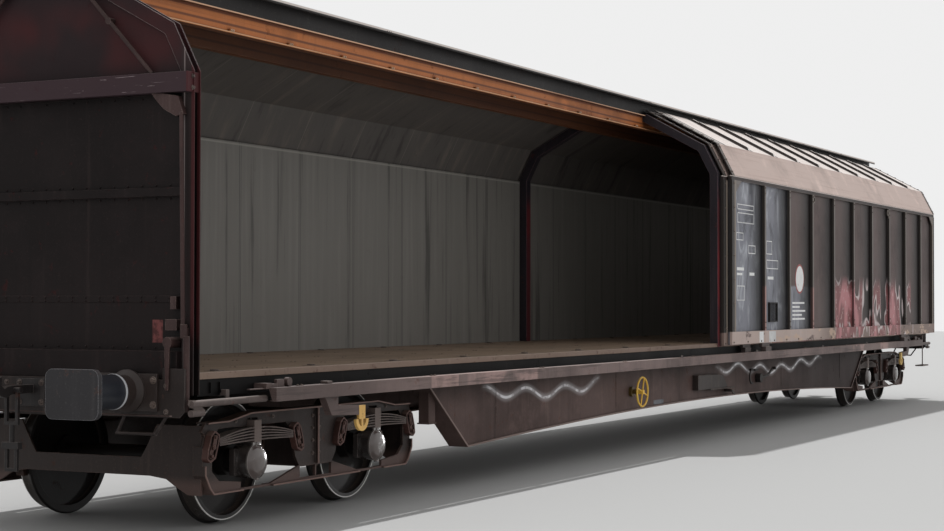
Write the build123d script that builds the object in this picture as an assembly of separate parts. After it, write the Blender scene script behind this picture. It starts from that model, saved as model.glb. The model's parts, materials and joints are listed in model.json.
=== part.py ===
from build123d import *
import os
from math import atan2, cos, hypot, pi, radians, sin

os.makedirs("parts", exist_ok=True)

# Covered bogie wagon with sliding walls, in millimetres.
# X runs along the wagon, Y across it (the near side is -Y) and Z up.
# The origin is at mid-length, on the centre line, at the tips of the wheel flanges.
# Heights in this file are above the rail top, and save() lifts each piece by the flange depth.
FLANGE_DEPTH = 28

# Main dimensions
BODY_HALF = 11000
POST_BACK = 10830
POST_FRONT = 10910
CAP_HALF = 11000
PIVOT_X = 8850
AXLE_X = 900
BUFFER_REACH = 620
BUFFER_Y = 875
BUFFER_Z = 1040
DECK_Z = 1165
DECK_DEPTH = 45
DECK_HALF = 1345
DECK_UNDER = DECK_Z - DECK_DEPTH

# Frame of the loading space: half width and height of the posts' outer line, floor to ridge
POST_FACE = 1350
POST_DEPTH = 100
FRAME_LINE = [(POST_FACE, DECK_Z), (POST_FACE, 3268), (1174, 3614), (360, 4056)]
FLANGE = 10
WEB_INSET = 50
BEAM_TOP = 4018
BEAM_PLATE = 12
BEAM_EDGE = 400
HOOP_HALF = 60

# Sliding walls: outer line of the sheet when closed, and the way one moves to open
WALL_FOOT = 1133
WALL_LINE = [(1406, WALL_FOOT), (1406, 3235), (1198, 3640), (370, 4090)]
WALL_X = (10, 10990)
SIDE_SHEET = (1353, 1361)
ROOF_SHEET = 9
RIB_HEIGHT = 22
WALL_POSTS = [1000 + 1082.5 * k for k in range(9)]
SLIDE_OUT = 60
SLIDE_UP = 12
SLIDE_ALONG = 11140

# Underframe
SILL_INNER = 1230
SILL_OUTER = 1330
SILL_UNDER = 1000
GIRDER_Y = 1193
GIRDER_PLATE = 14
CENTRE_HALF = 170
CENTRE_UNDER = 850
RAIL_Y = (1400, 1500)
RAIL_Z = (935, 1035)
RAIL_HALF = 10080
RAIL_PLATE = 8

# Wheelset
TREAD_R = 460
FLANGE_R = TREAD_R + FLANGE_DEPTH
AXLE_Z = TREAD_R
JOURNAL_R = 65
JOURNAL_PLAY = 1
WHEEL_BACK = 680
WHEEL_FRONT = 815
AXLE_END = 1085

# Bogie
FRAME_Y = (1036, 1060)
FRAME_FLANGE = (976, 1090)
COLUMN_X = 1540
SPRING_Y = (1022, 1110)
SPRING_SEAT = 606
SWIVEL_PLATE_Z = 846
END_PLATE = (1504, 1524)
TRANSOM_HALF = 170


def block(x, y, z):
    """A box between two X, two Y and two Z values"""
    middle = Pos((x[0] + x[1]) / 2, (y[0] + y[1]) / 2, (z[0] + z[1]) / 2)
    return middle * Box(x[1] - x[0], y[1] - y[0], z[1] - z[0])


def side_plate(points, y0, y1, rounding=0):
    """An outline of X and Z points, thick from y0 to y1, its corners rounded where a radius is given"""
    outline = make_face(Polyline(*[(x, y0, z) for x, z in points], close=True))
    if rounding:
        outline = fillet(outline.vertices(), rounding)
    return extrude(outline, y1 - y0, dir=(0, 1, 0))


def cross_plate(points, x0, x1):
    """An outline of Y and Z points, thick from x0 to x1"""
    outline = Polyline(*[(x0, y, z) for y, z in points], close=True)
    return extrude(make_face(outline), x1 - x0, dir=(1, 0, 0))


def flat_plate(points, z0, z1):
    """An outline of X and Y points, thick from z0 to z1"""
    outline = Polyline(*[(x, y, z0) for x, y in points], close=True)
    return extrude(make_face(outline), z1 - z0, dir=(0, 0, 1))


def round_bar(start, end, radius):
    """A straight round bar between two points"""
    way = Vector(*end) - Vector(*start)
    bar = Cylinder(radius, way.length, align=(Align.CENTER, Align.CENTER, Align.MIN))
    return Plane(origin=start, z_dir=way) * bar


def rounded_bar(start, end, radius, y0, y1):
    """A flat bar between two X and Z points, rounded at both ends"""
    way = atan2(end[1] - start[1], end[0] - start[0])
    steps = 6
    points = []
    for (x, z), turn in ((end, way - pi / 2), (start, way + pi / 2)):
        points += [(x + radius * cos(turn + k * pi / steps), z + radius * sin(turn + k * pi / steps))
                   for k in range(steps + 1)]
    return side_plate(points, y0, y1)


def inset_line(points, depth):
    """The line that runs inside another at one depth, its corners mitred"""
    sides = list(zip(points, points[1:]))
    normals = [((b[1] - a[1]) / hypot(b[0] - a[0], b[1] - a[1]),
                (a[0] - b[0]) / hypot(b[0] - a[0], b[1] - a[1])) for a, b in sides]
    inner = []
    for i, (y, z) in enumerate(points):
        before = normals[max(i - 1, 0)]
        after = normals[min(i, len(normals) - 1)]
        spread = 1 + before[0] * after[0] + before[1] * after[1]
        shift_y = depth * (before[0] + after[0]) / spread
        shift_z = depth * (before[1] + after[1]) / spread
        inner.append((y - shift_y, z - shift_z))
    return inner


def ridge_inset(points, depth):
    """The line inside a roof line, cut upright at the ridge"""
    inner = inset_line(points, depth)
    (low_y, low_z), (top_y, top_z) = points[-2:]
    inner[-1] = (top_y, top_z - depth * hypot(top_y - low_y, top_z - low_z) / (low_y - top_y))
    return inner


def joined(shapes):
    """One shape of all those that touch, with any others beside it"""
    first, *others = shapes
    return first + others if others else first


def near(shape):
    return shape.mirror(Plane.XZ)


def other_end(shape):
    return shape.mirror(Plane.YZ)


def both_sides(shapes):
    return shapes + [near(shape) for shape in shapes]


def both_ends(shapes):
    return shapes + [other_end(shape) for shape in shapes]


def save(name, shapes):
    export_step(Pos(0, 0, FLANGE_DEPTH) * joined(shapes), f"parts/{name}.step")


# Underframe: one box beam along the middle, with cross members out to the sides
def centre_sill():
    wall = 14
    hull = block((-BODY_HALF + 12, BODY_HALF - 12), (-CENTRE_HALF, CENTRE_HALF), (CENTRE_UNDER, DECK_UNDER))
    hollow = block((-BODY_HALF, BODY_HALF), (wall - CENTRE_HALF, CENTRE_HALF - wall),
                   (CENTRE_UNDER + wall, DECK_UNDER - wall))
    return hull - hollow


def cross_members():
    # X place, lowest height, half width of the flange
    table = [(0, 900, 50), (1300, 900, 50), (2600, 900, 50), (3900, 900, 50), (5200, 900, 50),
             (6400, 900, 50), (7400, 985, 40), (10400, 985, 40)]
    pieces = []
    for x, under, half in table:
        reach = GIRDER_Y if x < 7000 else SILL_INNER
        web = block((x - 7, x + 7), (CENTRE_HALF, reach), (under, DECK_UNDER))
        flange = block((x - half, x + half), (CENTRE_HALF, reach), (under, under + 14))
        member = web + flange
        pieces += [member] if x == 0 else both_ends([member])
    bolster = cross_plate([(CENTRE_HALF, SWIVEL_PLATE_Z), (420, SWIVEL_PLATE_Z), (SILL_INNER, 960),
                           (SILL_INNER, DECK_UNDER), (CENTRE_HALF, DECK_UNDER)], PIVOT_X - 200, PIVOT_X + 200)
    pieces += both_ends([bolster])
    return both_sides(pieces)


def side_girder():
    foot_x, foot_z, crown_z = 6510, 343, 486
    knee_x, knee_z, end_x = 7220, 892, 7360
    flange_y, flange = (1030, 1227), 16
    front = GIRDER_Y + GIRDER_PLATE

    def foot_arc(lift, y):
        return ThreePointArc((-foot_x, y, foot_z + lift), (0, y, crown_z + lift), (foot_x, y, foot_z + lift))
    arch = [Line((-foot_x, GIRDER_Y, foot_z), (-knee_x, GIRDER_Y, knee_z)),
            Line((-knee_x, GIRDER_Y, knee_z), (-end_x, GIRDER_Y, SILL_UNDER)),
            Line((-end_x, GIRDER_Y, SILL_UNDER), (end_x, GIRDER_Y, SILL_UNDER)),
            Line((end_x, GIRDER_Y, SILL_UNDER), (knee_x, GIRDER_Y, knee_z)),
            Line((knee_x, GIRDER_Y, knee_z), (foot_x, GIRDER_Y, foot_z)), foot_arc(0, GIRDER_Y)]
    pieces = [extrude(make_face(arch), GIRDER_PLATE, dir=(0, 1, 0))]
    lower, upper = foot_arc(0, flange_y[0]), foot_arc(flange, flange_y[0])
    band = make_face([lower, Line(lower @ 1, upper @ 1), upper, Line(upper @ 0, lower @ 0)])
    pieces.append(extrude(band, flange_y[1] - flange_y[0], dir=(0, 1, 0)))
    # The flange turns up the sloping ends, and a bracket hangs from it beside each bogie
    slope = [(foot_x, foot_z), (knee_x, knee_z), (end_x, SILL_UNDER)]
    end_flange = side_plate(slope + [(end_x - 20, SILL_UNDER), (knee_x - 17, knee_z + 6),
                                     (foot_x - 10, foot_z + 13)], *flange_y)
    hanger = side_plate([(7070, 600), (7190, 600), (7190, 869), (7070, 776)], 1085, 1185)
    foot = block((7060, 7200), (1075, 1195), (588, 600))
    pieces += both_ends([end_flange + hanger + foot])
    pieces.append(block((-POST_BACK, POST_BACK), (SILL_INNER, SILL_OUTER), (SILL_UNDER, DECK_UNDER)))
    pieces.append(block((-end_x, end_x), (GIRDER_Y, SILL_OUTER), (SILL_UNDER, SILL_UNDER + 14)))
    # Upright stiffeners on the face of the sill beyond the bogies
    ribs = [block((x - 5, x + 5), (SILL_OUTER, SILL_OUTER + 12), (SILL_UNDER + 20, DECK_UNDER - 25))
            for x in (10568, 10681)]
    pieces += both_ends(ribs)
    # Splices of the plate show as low straps
    straps = [block((x - 4, x + 4), (front, front + 3), (520, SILL_UNDER - 20)) for x in (2962, 5900)]
    return pieces + both_ends(straps)


def headstock():
    front, back, plate, under = BODY_HALF, BODY_HALF - 100, 12, 860
    channel = side_plate([(front, under), (front, DECK_UNDER), (back, DECK_UNDER), (back, DECK_UNDER - plate),
                          (front - plate, DECK_UNDER - plate), (front - plate, under + plate),
                          (back, under + plate), (back, under)], -1245, 1245)
    channel -= block((back - 10, front - plate), (-CENTRE_HALF, CENTRE_HALF), (under - 10, DECK_UNDER + 10))
    # The corner plate runs out past the sill, its lower corner cut off, and up beside the end post
    wing = cross_plate([(1245, under), (1300, under), (1345, under + 45), (1345, 1200), (1160, 1200),
                        (1160, DECK_UNDER), (1245, DECK_UNDER)], front - plate, front)
    # The shunter's handle below each buffer: two legs and the bar between them
    x, low, radius = front - 25, 740, 11
    handle = [round_bar((x, 812, under), (x, 752, low), radius), round_bar((x, 742, low), (x, 1092, low), radius),
              round_bar((x, 1172, under), (x, 1082, low), radius)]
    return [channel] + both_sides([wing, joined(handle)])


# Load space: deck, end walls, middle hoop and ridge
def deck():
    floor = block((-POST_BACK, POST_BACK), (-DECK_HALF, DECK_HALF), (DECK_UNDER, DECK_Z))
    notch = block((-HOOP_HALF, HOOP_HALF), (POST_FACE - POST_DEPTH, POST_FACE), (DECK_UNDER, DECK_Z))
    return floor - notch - near(notch)


def hoop_band(outer, inner, x0, x1, foot_z):
    """One side of a hoop between two insets of the frame line, cut to seat on the ridge beam"""
    top_y, top_z = FRAME_LINE[-1]
    lines = [ridge_inset([(POST_FACE, foot_z)] + FRAME_LINE[1:], depth) for depth in (outer, inner)]
    band = cross_plate(lines[0] + lines[1][::-1], x0, x1)
    seat = block((x0 - 1, x1 + 1), (top_y - 1, BEAM_EDGE), (BEAM_TOP - BEAM_PLATE, top_z + 1))
    return band - seat


def end_wall():
    inner_y, sheet_x = POST_FACE - POST_DEPTH, POST_BACK + 20
    pieces = both_sides([
        hoop_band(0, POST_DEPTH, POST_BACK, POST_BACK + FLANGE, 1012),
        hoop_band(0, POST_DEPTH, POST_FRONT - FLANGE, POST_FRONT, 1012),
        hoop_band(WEB_INSET, WEB_INSET + FLANGE, POST_BACK + FLANGE, POST_FRONT - FLANGE, 1012)])
    line = ridge_inset([(POST_FACE, DECK_UNDER)] + FRAME_LINE[1:], WEB_INSET + FLANGE)
    outline = [(0, DECK_UNDER)] + line + [(line[-1][0], BEAM_TOP), (0, BEAM_TOP)]
    pieces += both_sides([cross_plate(outline, sheet_x, sheet_x + FLANGE)])
    web_y = POST_FACE - WEB_INSET - FLANGE
    pieces.append(block((sheet_x + FLANGE, 10895), (-web_y, web_y), (2402, 2462)))
    # Beams across the end: at the eaves, and above the headstock
    pieces.append(block((10838, 10973), (-1340, 1340), (3120, 3260)))
    pieces.append(block((POST_BACK, 10960), (-inner_y, inner_y), (DECK_UNDER, 1317)))
    return pieces


def ridge_beam():
    under = BEAM_TOP - BEAM_PLATE
    web, leg, lip, foot, lip_plate = 300, 360, 385, 3840, 12
    rail = [(0, BEAM_TOP), (BEAM_EDGE, BEAM_TOP), (BEAM_EDGE, under), (leg, under), (leg, foot + lip_plate),
            (lip, foot + lip_plate), (lip, foot), (web, foot), (web, under), (0, under)]
    return both_sides([cross_plate(rail, -POST_BACK, POST_BACK)])


def ridge_cap():
    top, under, lip, edge, leg = 4200, 4190, 4165, 440, 340
    cap = [(0, top), (edge, top), (edge, lip), (edge - 10, lip), (edge - 10, under), (leg, under),
           (leg, BEAM_TOP), (leg - 12, BEAM_TOP), (leg - 12, under), (0, under)]
    return both_sides([cross_plate(cap, -CAP_HALF, CAP_HALF)])


# Sliding walls, modelled closed at the far side of the +X half
def wall_side():
    """Sheet with its bottom rail, eave beam and posts, and a gusset in each upper corner"""
    x0, x1 = WALL_X
    face_y, eave_z = WALL_LINE[1]
    foot_top, head_under = WALL_FOOT + 160, eave_z - 55
    end_post, half_post, sheet_y = 150, 30, SIDE_SHEET[1]
    pieces = [block(WALL_X, SIDE_SHEET, (WALL_FOOT, eave_z)),
              block(WALL_X, (sheet_y, face_y), (WALL_FOOT, foot_top)),
              block(WALL_X, (sheet_y, face_y - 6), (head_under, eave_z))]
    spans = [(x - half_post, x + half_post) for x in WALL_POSTS] + [(x0, x0 + end_post), (x1 - end_post, x1)]
    pieces += [block(span, (sheet_y, face_y), (foot_top, head_under)) for span in spans]
    for corner, along in ((x0 + end_post, 220), (x1 - end_post, -220)):
        outline = [(corner, head_under), (corner + along, head_under), (corner, head_under - 150)]
        pieces.append(side_plate(outline if along < 0 else outline[::-1], face_y - 12, face_y))
    return joined(pieces)


def wall_roof():
    """Sheet of the eave slope and the roof slope, with raised ribs and flat end strips"""
    x0, x1 = WALL_X
    outer = WALL_LINE[1:]
    raised = inset_line(WALL_LINE, -RIB_HEIGHT)[1:]
    strip_depth, strip_width, half_rib = 4, 100, 35

    def eave_cut(line, depth):
        """The line at one depth, cut level at the eave and upright at the ridge"""
        moved = ridge_inset(line, depth)
        (low_y, low_z), (high_y, high_z) = line[:2]
        moved[0] = (low_y - depth * hypot(high_y - low_y, high_z - low_z) / (high_z - low_z), low_z)
        return moved

    def on_slope(line, share):
        return tuple(line[1][i] + share * (line[2][i] - line[1][i]) for i in (0, 1))
    pieces = [cross_plate(outer + eave_cut(outer, ROOF_SHEET)[::-1], x0, x1)]
    rib = [on_slope(outer, 0.04), on_slope(raised, 0.07), on_slope(raised, 0.97), on_slope(outer, 0.97)]
    pieces += [cross_plate(rib, x - half_rib, x + half_rib) for x in WALL_POSTS]
    strip = eave_cut(outer, -strip_depth) + outer[::-1]
    pieces += [cross_plate(strip, x0, x0 + strip_width), cross_plate(strip, x1 - strip_width, x1)]
    return joined(pieces)


def slid_open(shape):
    """A wall of the -X half, moved out and along over the other half"""
    return Pos(SLIDE_ALONG, SLIDE_OUT, SLIDE_UP) * other_end(shape)


def carriages(places, shift_y, shift_z, foot_y):
    """Roller carriages that stand on the guide rail and carry a wall at its foot"""
    pieces = []
    for x in places:
        body = block((x - 150, x + 150), (SIDE_SHEET[1] + shift_y, SIDE_SHEET[1] + 39 + shift_y),
                     (RAIL_Z[1] + 60, WALL_FOOT + shift_z))
        foot = block((x - 110, x + 110), foot_y, (RAIL_Z[1], RAIL_Z[1] + 60))
        pieces.append(body + foot)
    return pieces


# Running gear of the walls
def guide_rail():
    """A channel open inward, on arms from the sill, with the stop and roller of the wall at each end"""
    (back_y, front_y), (low_z, top_z) = RAIL_Y, RAIL_Z
    section = [(front_y, low_z), (front_y, top_z), (back_y, top_z), (back_y, top_z - RAIL_PLATE),
               (front_y - RAIL_PLATE, top_z - RAIL_PLATE), (front_y - RAIL_PLATE, low_z + RAIL_PLATE),
               (front_y - 60, low_z + RAIL_PLATE), (front_y - 60, low_z)]
    pieces = [cross_plate(section, -RAIL_HALF, RAIL_HALF)]
    for x in (1200, 3300, 5400, 7600, 9700):
        arm = block((x - 40, x + 40), (SILL_OUTER, front_y - RAIL_PLATE), (SILL_UNDER, top_z - RAIL_PLATE))
        pieces += both_ends([arm])
    end = RAIL_HALF
    close = cross_plate([(1430, top_z), (front_y, top_z), (front_y, low_z), (1465, low_z)], end, end + 10)
    ledge = block((end, end + 240), (back_y, 1425), (top_z - RAIL_PLATE, top_z))
    bracket = block((end - 20, end + 50), (SILL_OUTER, 1440), (top_z - RAIL_PLATE, 1069))
    stop = block((end - 95, end - 25), (back_y, 1440), (top_z, 1062))
    latch = block((end - 200, end - 100), (back_y + 5, 1430), (top_z, 1092))
    roller = round_bar((end - 260, back_y + 5, top_z + 34), (end - 260, 1440, top_z + 34), 34)
    return pieces + both_ends([close + ledge + bracket, stop, latch, roller])


def lift_shaft():
    """The shaft that lifts a wall off its seat, with the crank at its outer end"""
    y, z = 1400, 958
    shaft = round_bar((RAIL_HALF + 10, y, z), (11000, y, z), 25)
    crank = side_plate([(11010, 985), (10950, 985), (10830, 912), (10825, 878), (10870, 868), (11010, 950)],
                       y - 15, y - 3)
    pin = round_bar((10850, y - 9, 892), (10990, y - 9, 892), 24)
    stay = block((10520, 10560), (SILL_OUTER, y - 18), (SILL_UNDER, 1040)) + block((10520, 10560), (1372, 1384),
                                                                                   (940, 1040))
    return both_ends([shaft + crank + pin + stay])


def rope_hook():
    """An anchor-shaped double hook on a bent arm below the guide rail"""
    arm = side_plate([(9339, RAIL_Z[0]), (9145, RAIL_Z[0]), (9145, 860), (8830, 848), (8830, 770), (9240, 788)],
                     1390, 1450)
    shank = block((8735, 8830), (1428, 1452), (735, 845))
    prongs = Pos(8780, 1440, 736) * Rot(90, 0, 0) * (Cylinder(96, 24) - Cylinder(60, 26))
    prongs -= block((8600, 8900), (1400, 1500), (736, 840))
    return [arm], [shank + prongs + block((8766, 8794), (1428, 1452), (672, 736))]


# Ends
def buffer():
    x, y, z = BODY_HALF, BUFFER_Y, 1032
    base = block((x, x + 20), (y - 250, y + 250), (z - 130, z + 130))
    # Flared guide and the plunger that slides over it: distance out and radius
    steps = [(20, 150), (34, 150), (64, 112), (175, 104), (175, 125), (190, 125), (200, 120), (580, 116)]
    turned = Polyline((0, 20, 0), *[(r, out, 0) for out, r in steps], (0, 580, 0), close=True)
    barrel = Pos(x, y, BUFFER_Z) * Rot(0, 0, -90) * revolve(make_face(turned), Axis.Y)
    head_back = Plane(origin=(x + 580, y, BUFFER_Z), z_dir=(1, 0, 0), x_dir=(0, 1, 0))
    face = fillet(Rectangle(450, 340).vertices(), 60)
    head = extrude(head_back * face, BUFFER_REACH - 580)
    return base + [barrel, head]


def draw_gear():
    x, z = BODY_HALF, BUFFER_Z
    plate = block((x, x + 18), (-130, 130), (z - 130, z + 70))
    stem = block((x + 18, x + 240), (-28, 28), (z - 35, z + 25))
    hook = side_plate([(x + 240, z - 35), (x + 300, z - 60), (x + 370, z - 40), (x + 395, z + 20),
                       (x + 380, z + 80), (x + 345, z + 95), (x + 350, z + 30), (x + 320, z + 5),
                       (x + 285, z + 20), (x + 240, z + 25)], -28, 28)
    pin = round_bar((x + 210, -80, z - 5), (x + 210, 80, z - 5), 20)
    # Place of each hanging bar: its half spacing across and its lower and upper heights
    bars = [block((x + 198, x + 222), (side * y - 12, side * y + 12), (z - low, z - high))
            for y, low, high in ((50, 230, 5), (44, 560, 400)) for side in (-1, 1)]
    ties = [block((x + 198, x + 222), (-y, y), (z - low - 24, z - low)) for y, low in ((62, 230), (56, 560))]
    nut = block((x + 186, x + 234), (-75, 75), (z - 424, z - 376))
    screw = round_bar((x + 210, 0, z - 380), (x + 210, 0, z - 250), 18)
    return joined([plate, stem, hook, pin, nut, screw] + bars + ties)


def wall_lever_set():
    """The rods and levers at a corner that lift and free the walls"""
    casting = cross_plate([(1017, 3120), (1086, 3120), (1246, 3092), (1290, 2967), (1228, 2952), (1123, 3006),
                           (1052, 3077)], POST_FRONT, 10955)
    x = 10935
    upper = round_bar((x + 15, 1272, 2980), (x + 15, 1293, 1460), 15)
    coupling = round_bar((x + 15, 1300, 1410), (x + 15, 1300, 1505), 25)
    lower = round_bar((x + 15, 1325, 900), (x + 15, 1325, 1425), 22)
    guide = block((POST_FRONT, x + 5), (1284, 1316), (1430, 1480))
    rod = round_bar((10900, 300, 3980), (10900, 975, 3272), 14)
    rod += block((10888, 10912), (960, 990), (3260, 3285))
    bosses = [round_bar((10860, y, z), (10914, y, z), 24) for y, z in ((600, 3665), (304, 3976))]
    lug = block((10860, 10905), (1150, 1200), (1610, 1700))
    housing = block((10870, 10960), (1150, 1245), (1464, 1540))
    housing += block((10860, 10870), (1170, 1225), (1480, 1525))
    lever_y, lever_z = 1204, 1380
    knob = round_bar((10860, lever_y, lever_z), (11014, lever_y, lever_z), 38)
    lever = cross_plate([(lever_y - 22, lever_z - 8), (lever_y + 22, lever_z - 8), (lever_y + 12, 1050),
                         (lever_y - 12, 1050)], 11002, 11014)
    return [casting + upper + coupling + lower + guide, rod + bosses, lug, housing, knob + lever]


def corner_step():
    x = 10300
    arm = block((x - 15, x + 15), (SILL_OUTER, 1450), (1080, 1107))
    bar = block((x - 15, x + 15), (1438, 1450), (600, 1080))
    tread = flat_plate([(x - 245, 1378), (x + 245, 1378), (x + 205, 1500), (x - 205, 1500)], 578, 600)
    return arm + [bar, tread]


# Brake gear on the body
def handwheel():
    x, z, y = 2548, 678, 1350
    radius, section = 160, 11
    ring = [(radius + section * cos(k * pi / 3), y + section * sin(k * pi / 3), 0) for k in range(6)]
    rim = Pos(x, 0, z) * revolve(make_face(Polyline(*ring, close=True)), Axis.Y)
    hub = round_bar((x, GIRDER_Y + GIRDER_PLATE, z), (x, y + 16, z), 26)
    spokes = [round_bar((x, y, z), (x + radius * cos(radians(a)), y, z + radius * sin(radians(a))), 8)
              for a in (18, 108, 198, 288)]
    collar = round_bar((x, GIRDER_Y + GIRDER_PLATE, z), (x, 1240, z), 55)
    return joined([collar, hub] + spokes + [rim])


def changeover():
    """The box of the load changeover, with its shelf and handle, and the two levers beside it on the girder"""
    front = GIRDER_Y + GIRDER_PLATE
    box = side_plate([(-560, 606), (484, 606), (484, 632), (345, 764), (-225, 786), (-560, 786)], front, 1280)
    shelf = block((-180, 705), (front, 1305), (594, 606))
    pin = round_bar((600, front, 560), (600, 1300, 560), 18)
    handle = rounded_bar((600, 560), (690, 520), 16, 1300, 1312)
    # A bow-shaped lever on its pin, and a cranked one on a round dial
    bow_x, bow_z, dial_x, dial_z, lever_y = 1500, 700, 1877, 670, (1262, 1278)
    ring = Cylinder(98, 16) - Cylinder(74, 20)
    bow = Pos(bow_x, sum(lever_y) / 2, bow_z) * Rot(90, 0, 0) * ring
    bow -= block((bow_x + 30, bow_x + 120), (lever_y[0] - 5, lever_y[1] + 5), (bow_z - 120, bow_z + 74))
    arm = rounded_bar((bow_x + 20, bow_z + 86), (bow_x + 230, bow_z + 82), 12, *lever_y)
    bow_pin = round_bar((bow_x + 100, front, bow_z + 85), (bow_x + 100, lever_y[1] + 8, bow_z + 85), 16)
    dial = round_bar((dial_x, front, dial_z), (dial_x, lever_y[1], dial_z), 60)
    crank = rounded_bar((dial_x, dial_z), (dial_x + 300, dial_z + 30), 14, *lever_y)
    grip_x, grip_z = dial_x + 520, dial_z + 115
    crank += rounded_bar((dial_x + 300, dial_z + 30), (grip_x, grip_z), 14, *lever_y)
    grip = round_bar((grip_x, lever_y[0], grip_z), (grip_x, lever_y[1] + 32, grip_z), 20)
    return [box + shelf, pin + handle, bow + arm + bow_pin, dial + crank + grip]


def brake_cylinder():
    drum = round_bar((2450, -480, 728), (3050, -480, 728), 165)
    rod = round_bar((3050, -480, 728), (3850, -480, 728), 22)
    saddle = block((2550, 2650), (-560, -400), (840, 900))
    eye = block((3850, 3950), (-520, -440), (700, 900))
    return drum + [rod, saddle, eye]


def air_reservoir():
    drum = round_bar((-2750, 520, 710), (-1150, 520, 710), 180)
    saddles = [block((x - 50, x + 50), (430, 610), (840, 900)) for x in (-2600, -1300)]
    return drum + saddles


# Bogie pieces, modelled about a pivot at X = 0
def bogie_side():
    """One side: a plate with a window for each axle box, its top flange and its end flanges"""
    def mirrored(points):
        return points + [(-x, z) for x, z in reversed(points)]
    top_line = [(950, 832), (1240, 786), (1500, 784)]
    column = [(1550, 717), (1512, 692), (COLUMN_X, 610), (COLUMN_X, 400), (1480, 300), (1430, 252)]
    window = [(440, 730), (830, 730), (830, 788), (970, 788), (970, 730), (1340, 730), (1420, 650), (1420, 420),
              (1330, 345), (1050, 318), (1050, 270), (650, 270), (245, 375), (300, 450), (340, 640)]
    plate = side_plate(mirrored(top_line + column), *FRAME_Y)
    openings = [side_plate(window, FRAME_Y[0] - 1, FRAME_Y[1] + 1), block((8, 235), (1030, 1066), (276, 366))]
    for opening in openings:
        plate = plate - opening - other_end(opening)
    thick = 12
    top = [(-x, z) for x, z in reversed(top_line)] + top_line
    flange = top + [(x, z - thick) for x, z in reversed(top)]
    stiffener = block((-8, 8), (FRAME_Y[1], FRAME_FLANGE[1]), (375, 825))
    foot = block((-650, 650), FRAME_FLANGE, (252, 264))
    # The end flange stands out over the lower half of each column and along its foot
    upper = side_plate([(COLUMN_X, 610), (COLUMN_X, 470), (COLUMN_X - thick, 470), (COLUMN_X - thick, 610)],
                       FRAME_FLANGE[0], FRAME_Y[0])
    lower = side_plate([(COLUMN_X, 470), (COLUMN_X, 400), (1480, 300), (1430, 252), (1050, 252), (1050, 264),
                        (1424, 264), (1470, 308), (COLUMN_X - thick, 405), (COLUMN_X - thick, 470)], *FRAME_FLANGE)
    return [plate, side_plate(flange, *FRAME_FLANGE), stiffener, foot] + both_ends([upper, lower])


def bogie_frame():
    """Two sides on a deep transom, with a plate across each end that dips between the wheels"""
    pieces = both_sides(bogie_side())
    inner, top = FRAME_Y[0], 800
    pieces.append(block((-TRANSOM_HALF, TRANSOM_HALF), (-inner, inner), (360, top)))
    lower = [(inner, 252), (920, 254), (815, 308), (725, 362), (580, 380)]
    upper = [(500, 515), (580, 650), (640, 760), (inner, 760)]
    half = lower + [(-y, z) for y, z in reversed(lower)] + [(-y, z) for y, z in reversed(upper)] + upper
    pieces += both_ends([cross_plate(half, *END_PLATE)])
    pieces.append(round_bar((0, 0, top), (0, 0, SWIVEL_PLATE_Z - 2), 190))
    return pieces


def axle_box():
    """A cast barrel about the journal, with ears, a spring seat and a domed cover"""
    # Radius and place across of the turned casting and its cover
    turned = [(0, 940), (126, 940), (130, 946), (130, 1090), (135, 1090), (135, 1104), (128, 1108), (104, 1128),
              (58, 1139), (0, 1142)]
    barrel = revolve(make_face(Polyline(*[(r, y, 0) for r, y in turned], close=True)), Axis.Y)
    bore = round_bar((0, 900, 0), (0, AXLE_END + 10, 0), JOURNAL_R + JOURNAL_PLAY)
    ears = block((-165, 165), (965, 1010), (-100, 100))
    seat = block((-55, 55), (SPRING_Y[0], SPRING_Y[1] - 6), (110, SPRING_SEAT - AXLE_Z))
    lugs = [block((-17, 17), (1084, 1110), (128, 143)), block((-17, 17), (1084, 1110), (-143, -128))]
    return Pos(0, 0, AXLE_Z) * (joined([barrel, ears, seat] + lugs) - bore)


def leaf_spring():
    """Five long leaves, held apart by the buckle and closing on one another at their tips"""
    leaves, thick, half = 5, 10, 492
    pitch, tip_pitch, tip_z = 23, 11.5, 609
    pieces = [block((-47, 47), (SPRING_Y[0] - 5, SPRING_Y[1] + 2), (SPRING_SEAT, 772))]
    for k in range(leaves):
        crown, tip = SPRING_SEAT + 14 + k * pitch, tip_z + k * tip_pitch
        low = ThreePointArc((-half, SPRING_Y[0], tip), (0, SPRING_Y[0], crown), (half, SPRING_Y[0], tip))
        high = ThreePointArc((-half, SPRING_Y[0], tip + thick), (0, SPRING_Y[0], crown + thick),
                             (half, SPRING_Y[0], tip + thick))
        outline = make_face([low, Line(low @ 1, high @ 1), high, Line(high @ 0, low @ 0)])
        pieces.append(extrude(outline, SPRING_Y[1] - SPRING_Y[0], dir=(0, 1, 0)))
    return joined(pieces)


def spring_link():
    """The bracket that takes the spring's outer tip, open at its front, with its shackles on three pins"""
    lozenge = [(555, 728), (490, 690), (500, 640), (545, 520), (610, 492), (652, 520), (640, 590), (602, 692)]
    recess = [(554, 710), (507, 684), (515, 642), (557, 532), (608, 509), (637, 527), (626, 586), (591, 680)]
    bracket = side_plate(lozenge, FRAME_Y[1], 1112, 19) - side_plate(recess, 1076, 1120, 12)
    pins = [(552, 676), (572, 606), (600, 542)]
    shackles = [rounded_bar(pins[0], pins[1], 20, 1084, 1094), rounded_bar(pins[1], pins[2], 20, 1096, 1106),
                rounded_bar(pins[0], pins[1], 20, 1108, 1118)]
    rods = [round_bar((x, 1076, z), (x, 1126, z), 13) for x, z in pins]
    return joined([bracket] + rods + shackles)


def at_axle_boxes(shape):
    """One piece at each of the four axle boxes of a bogie"""
    places = [Pos(x, 0, 0) * shape for x in (-AXLE_X, AXLE_X)]
    return both_sides(places)


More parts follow.
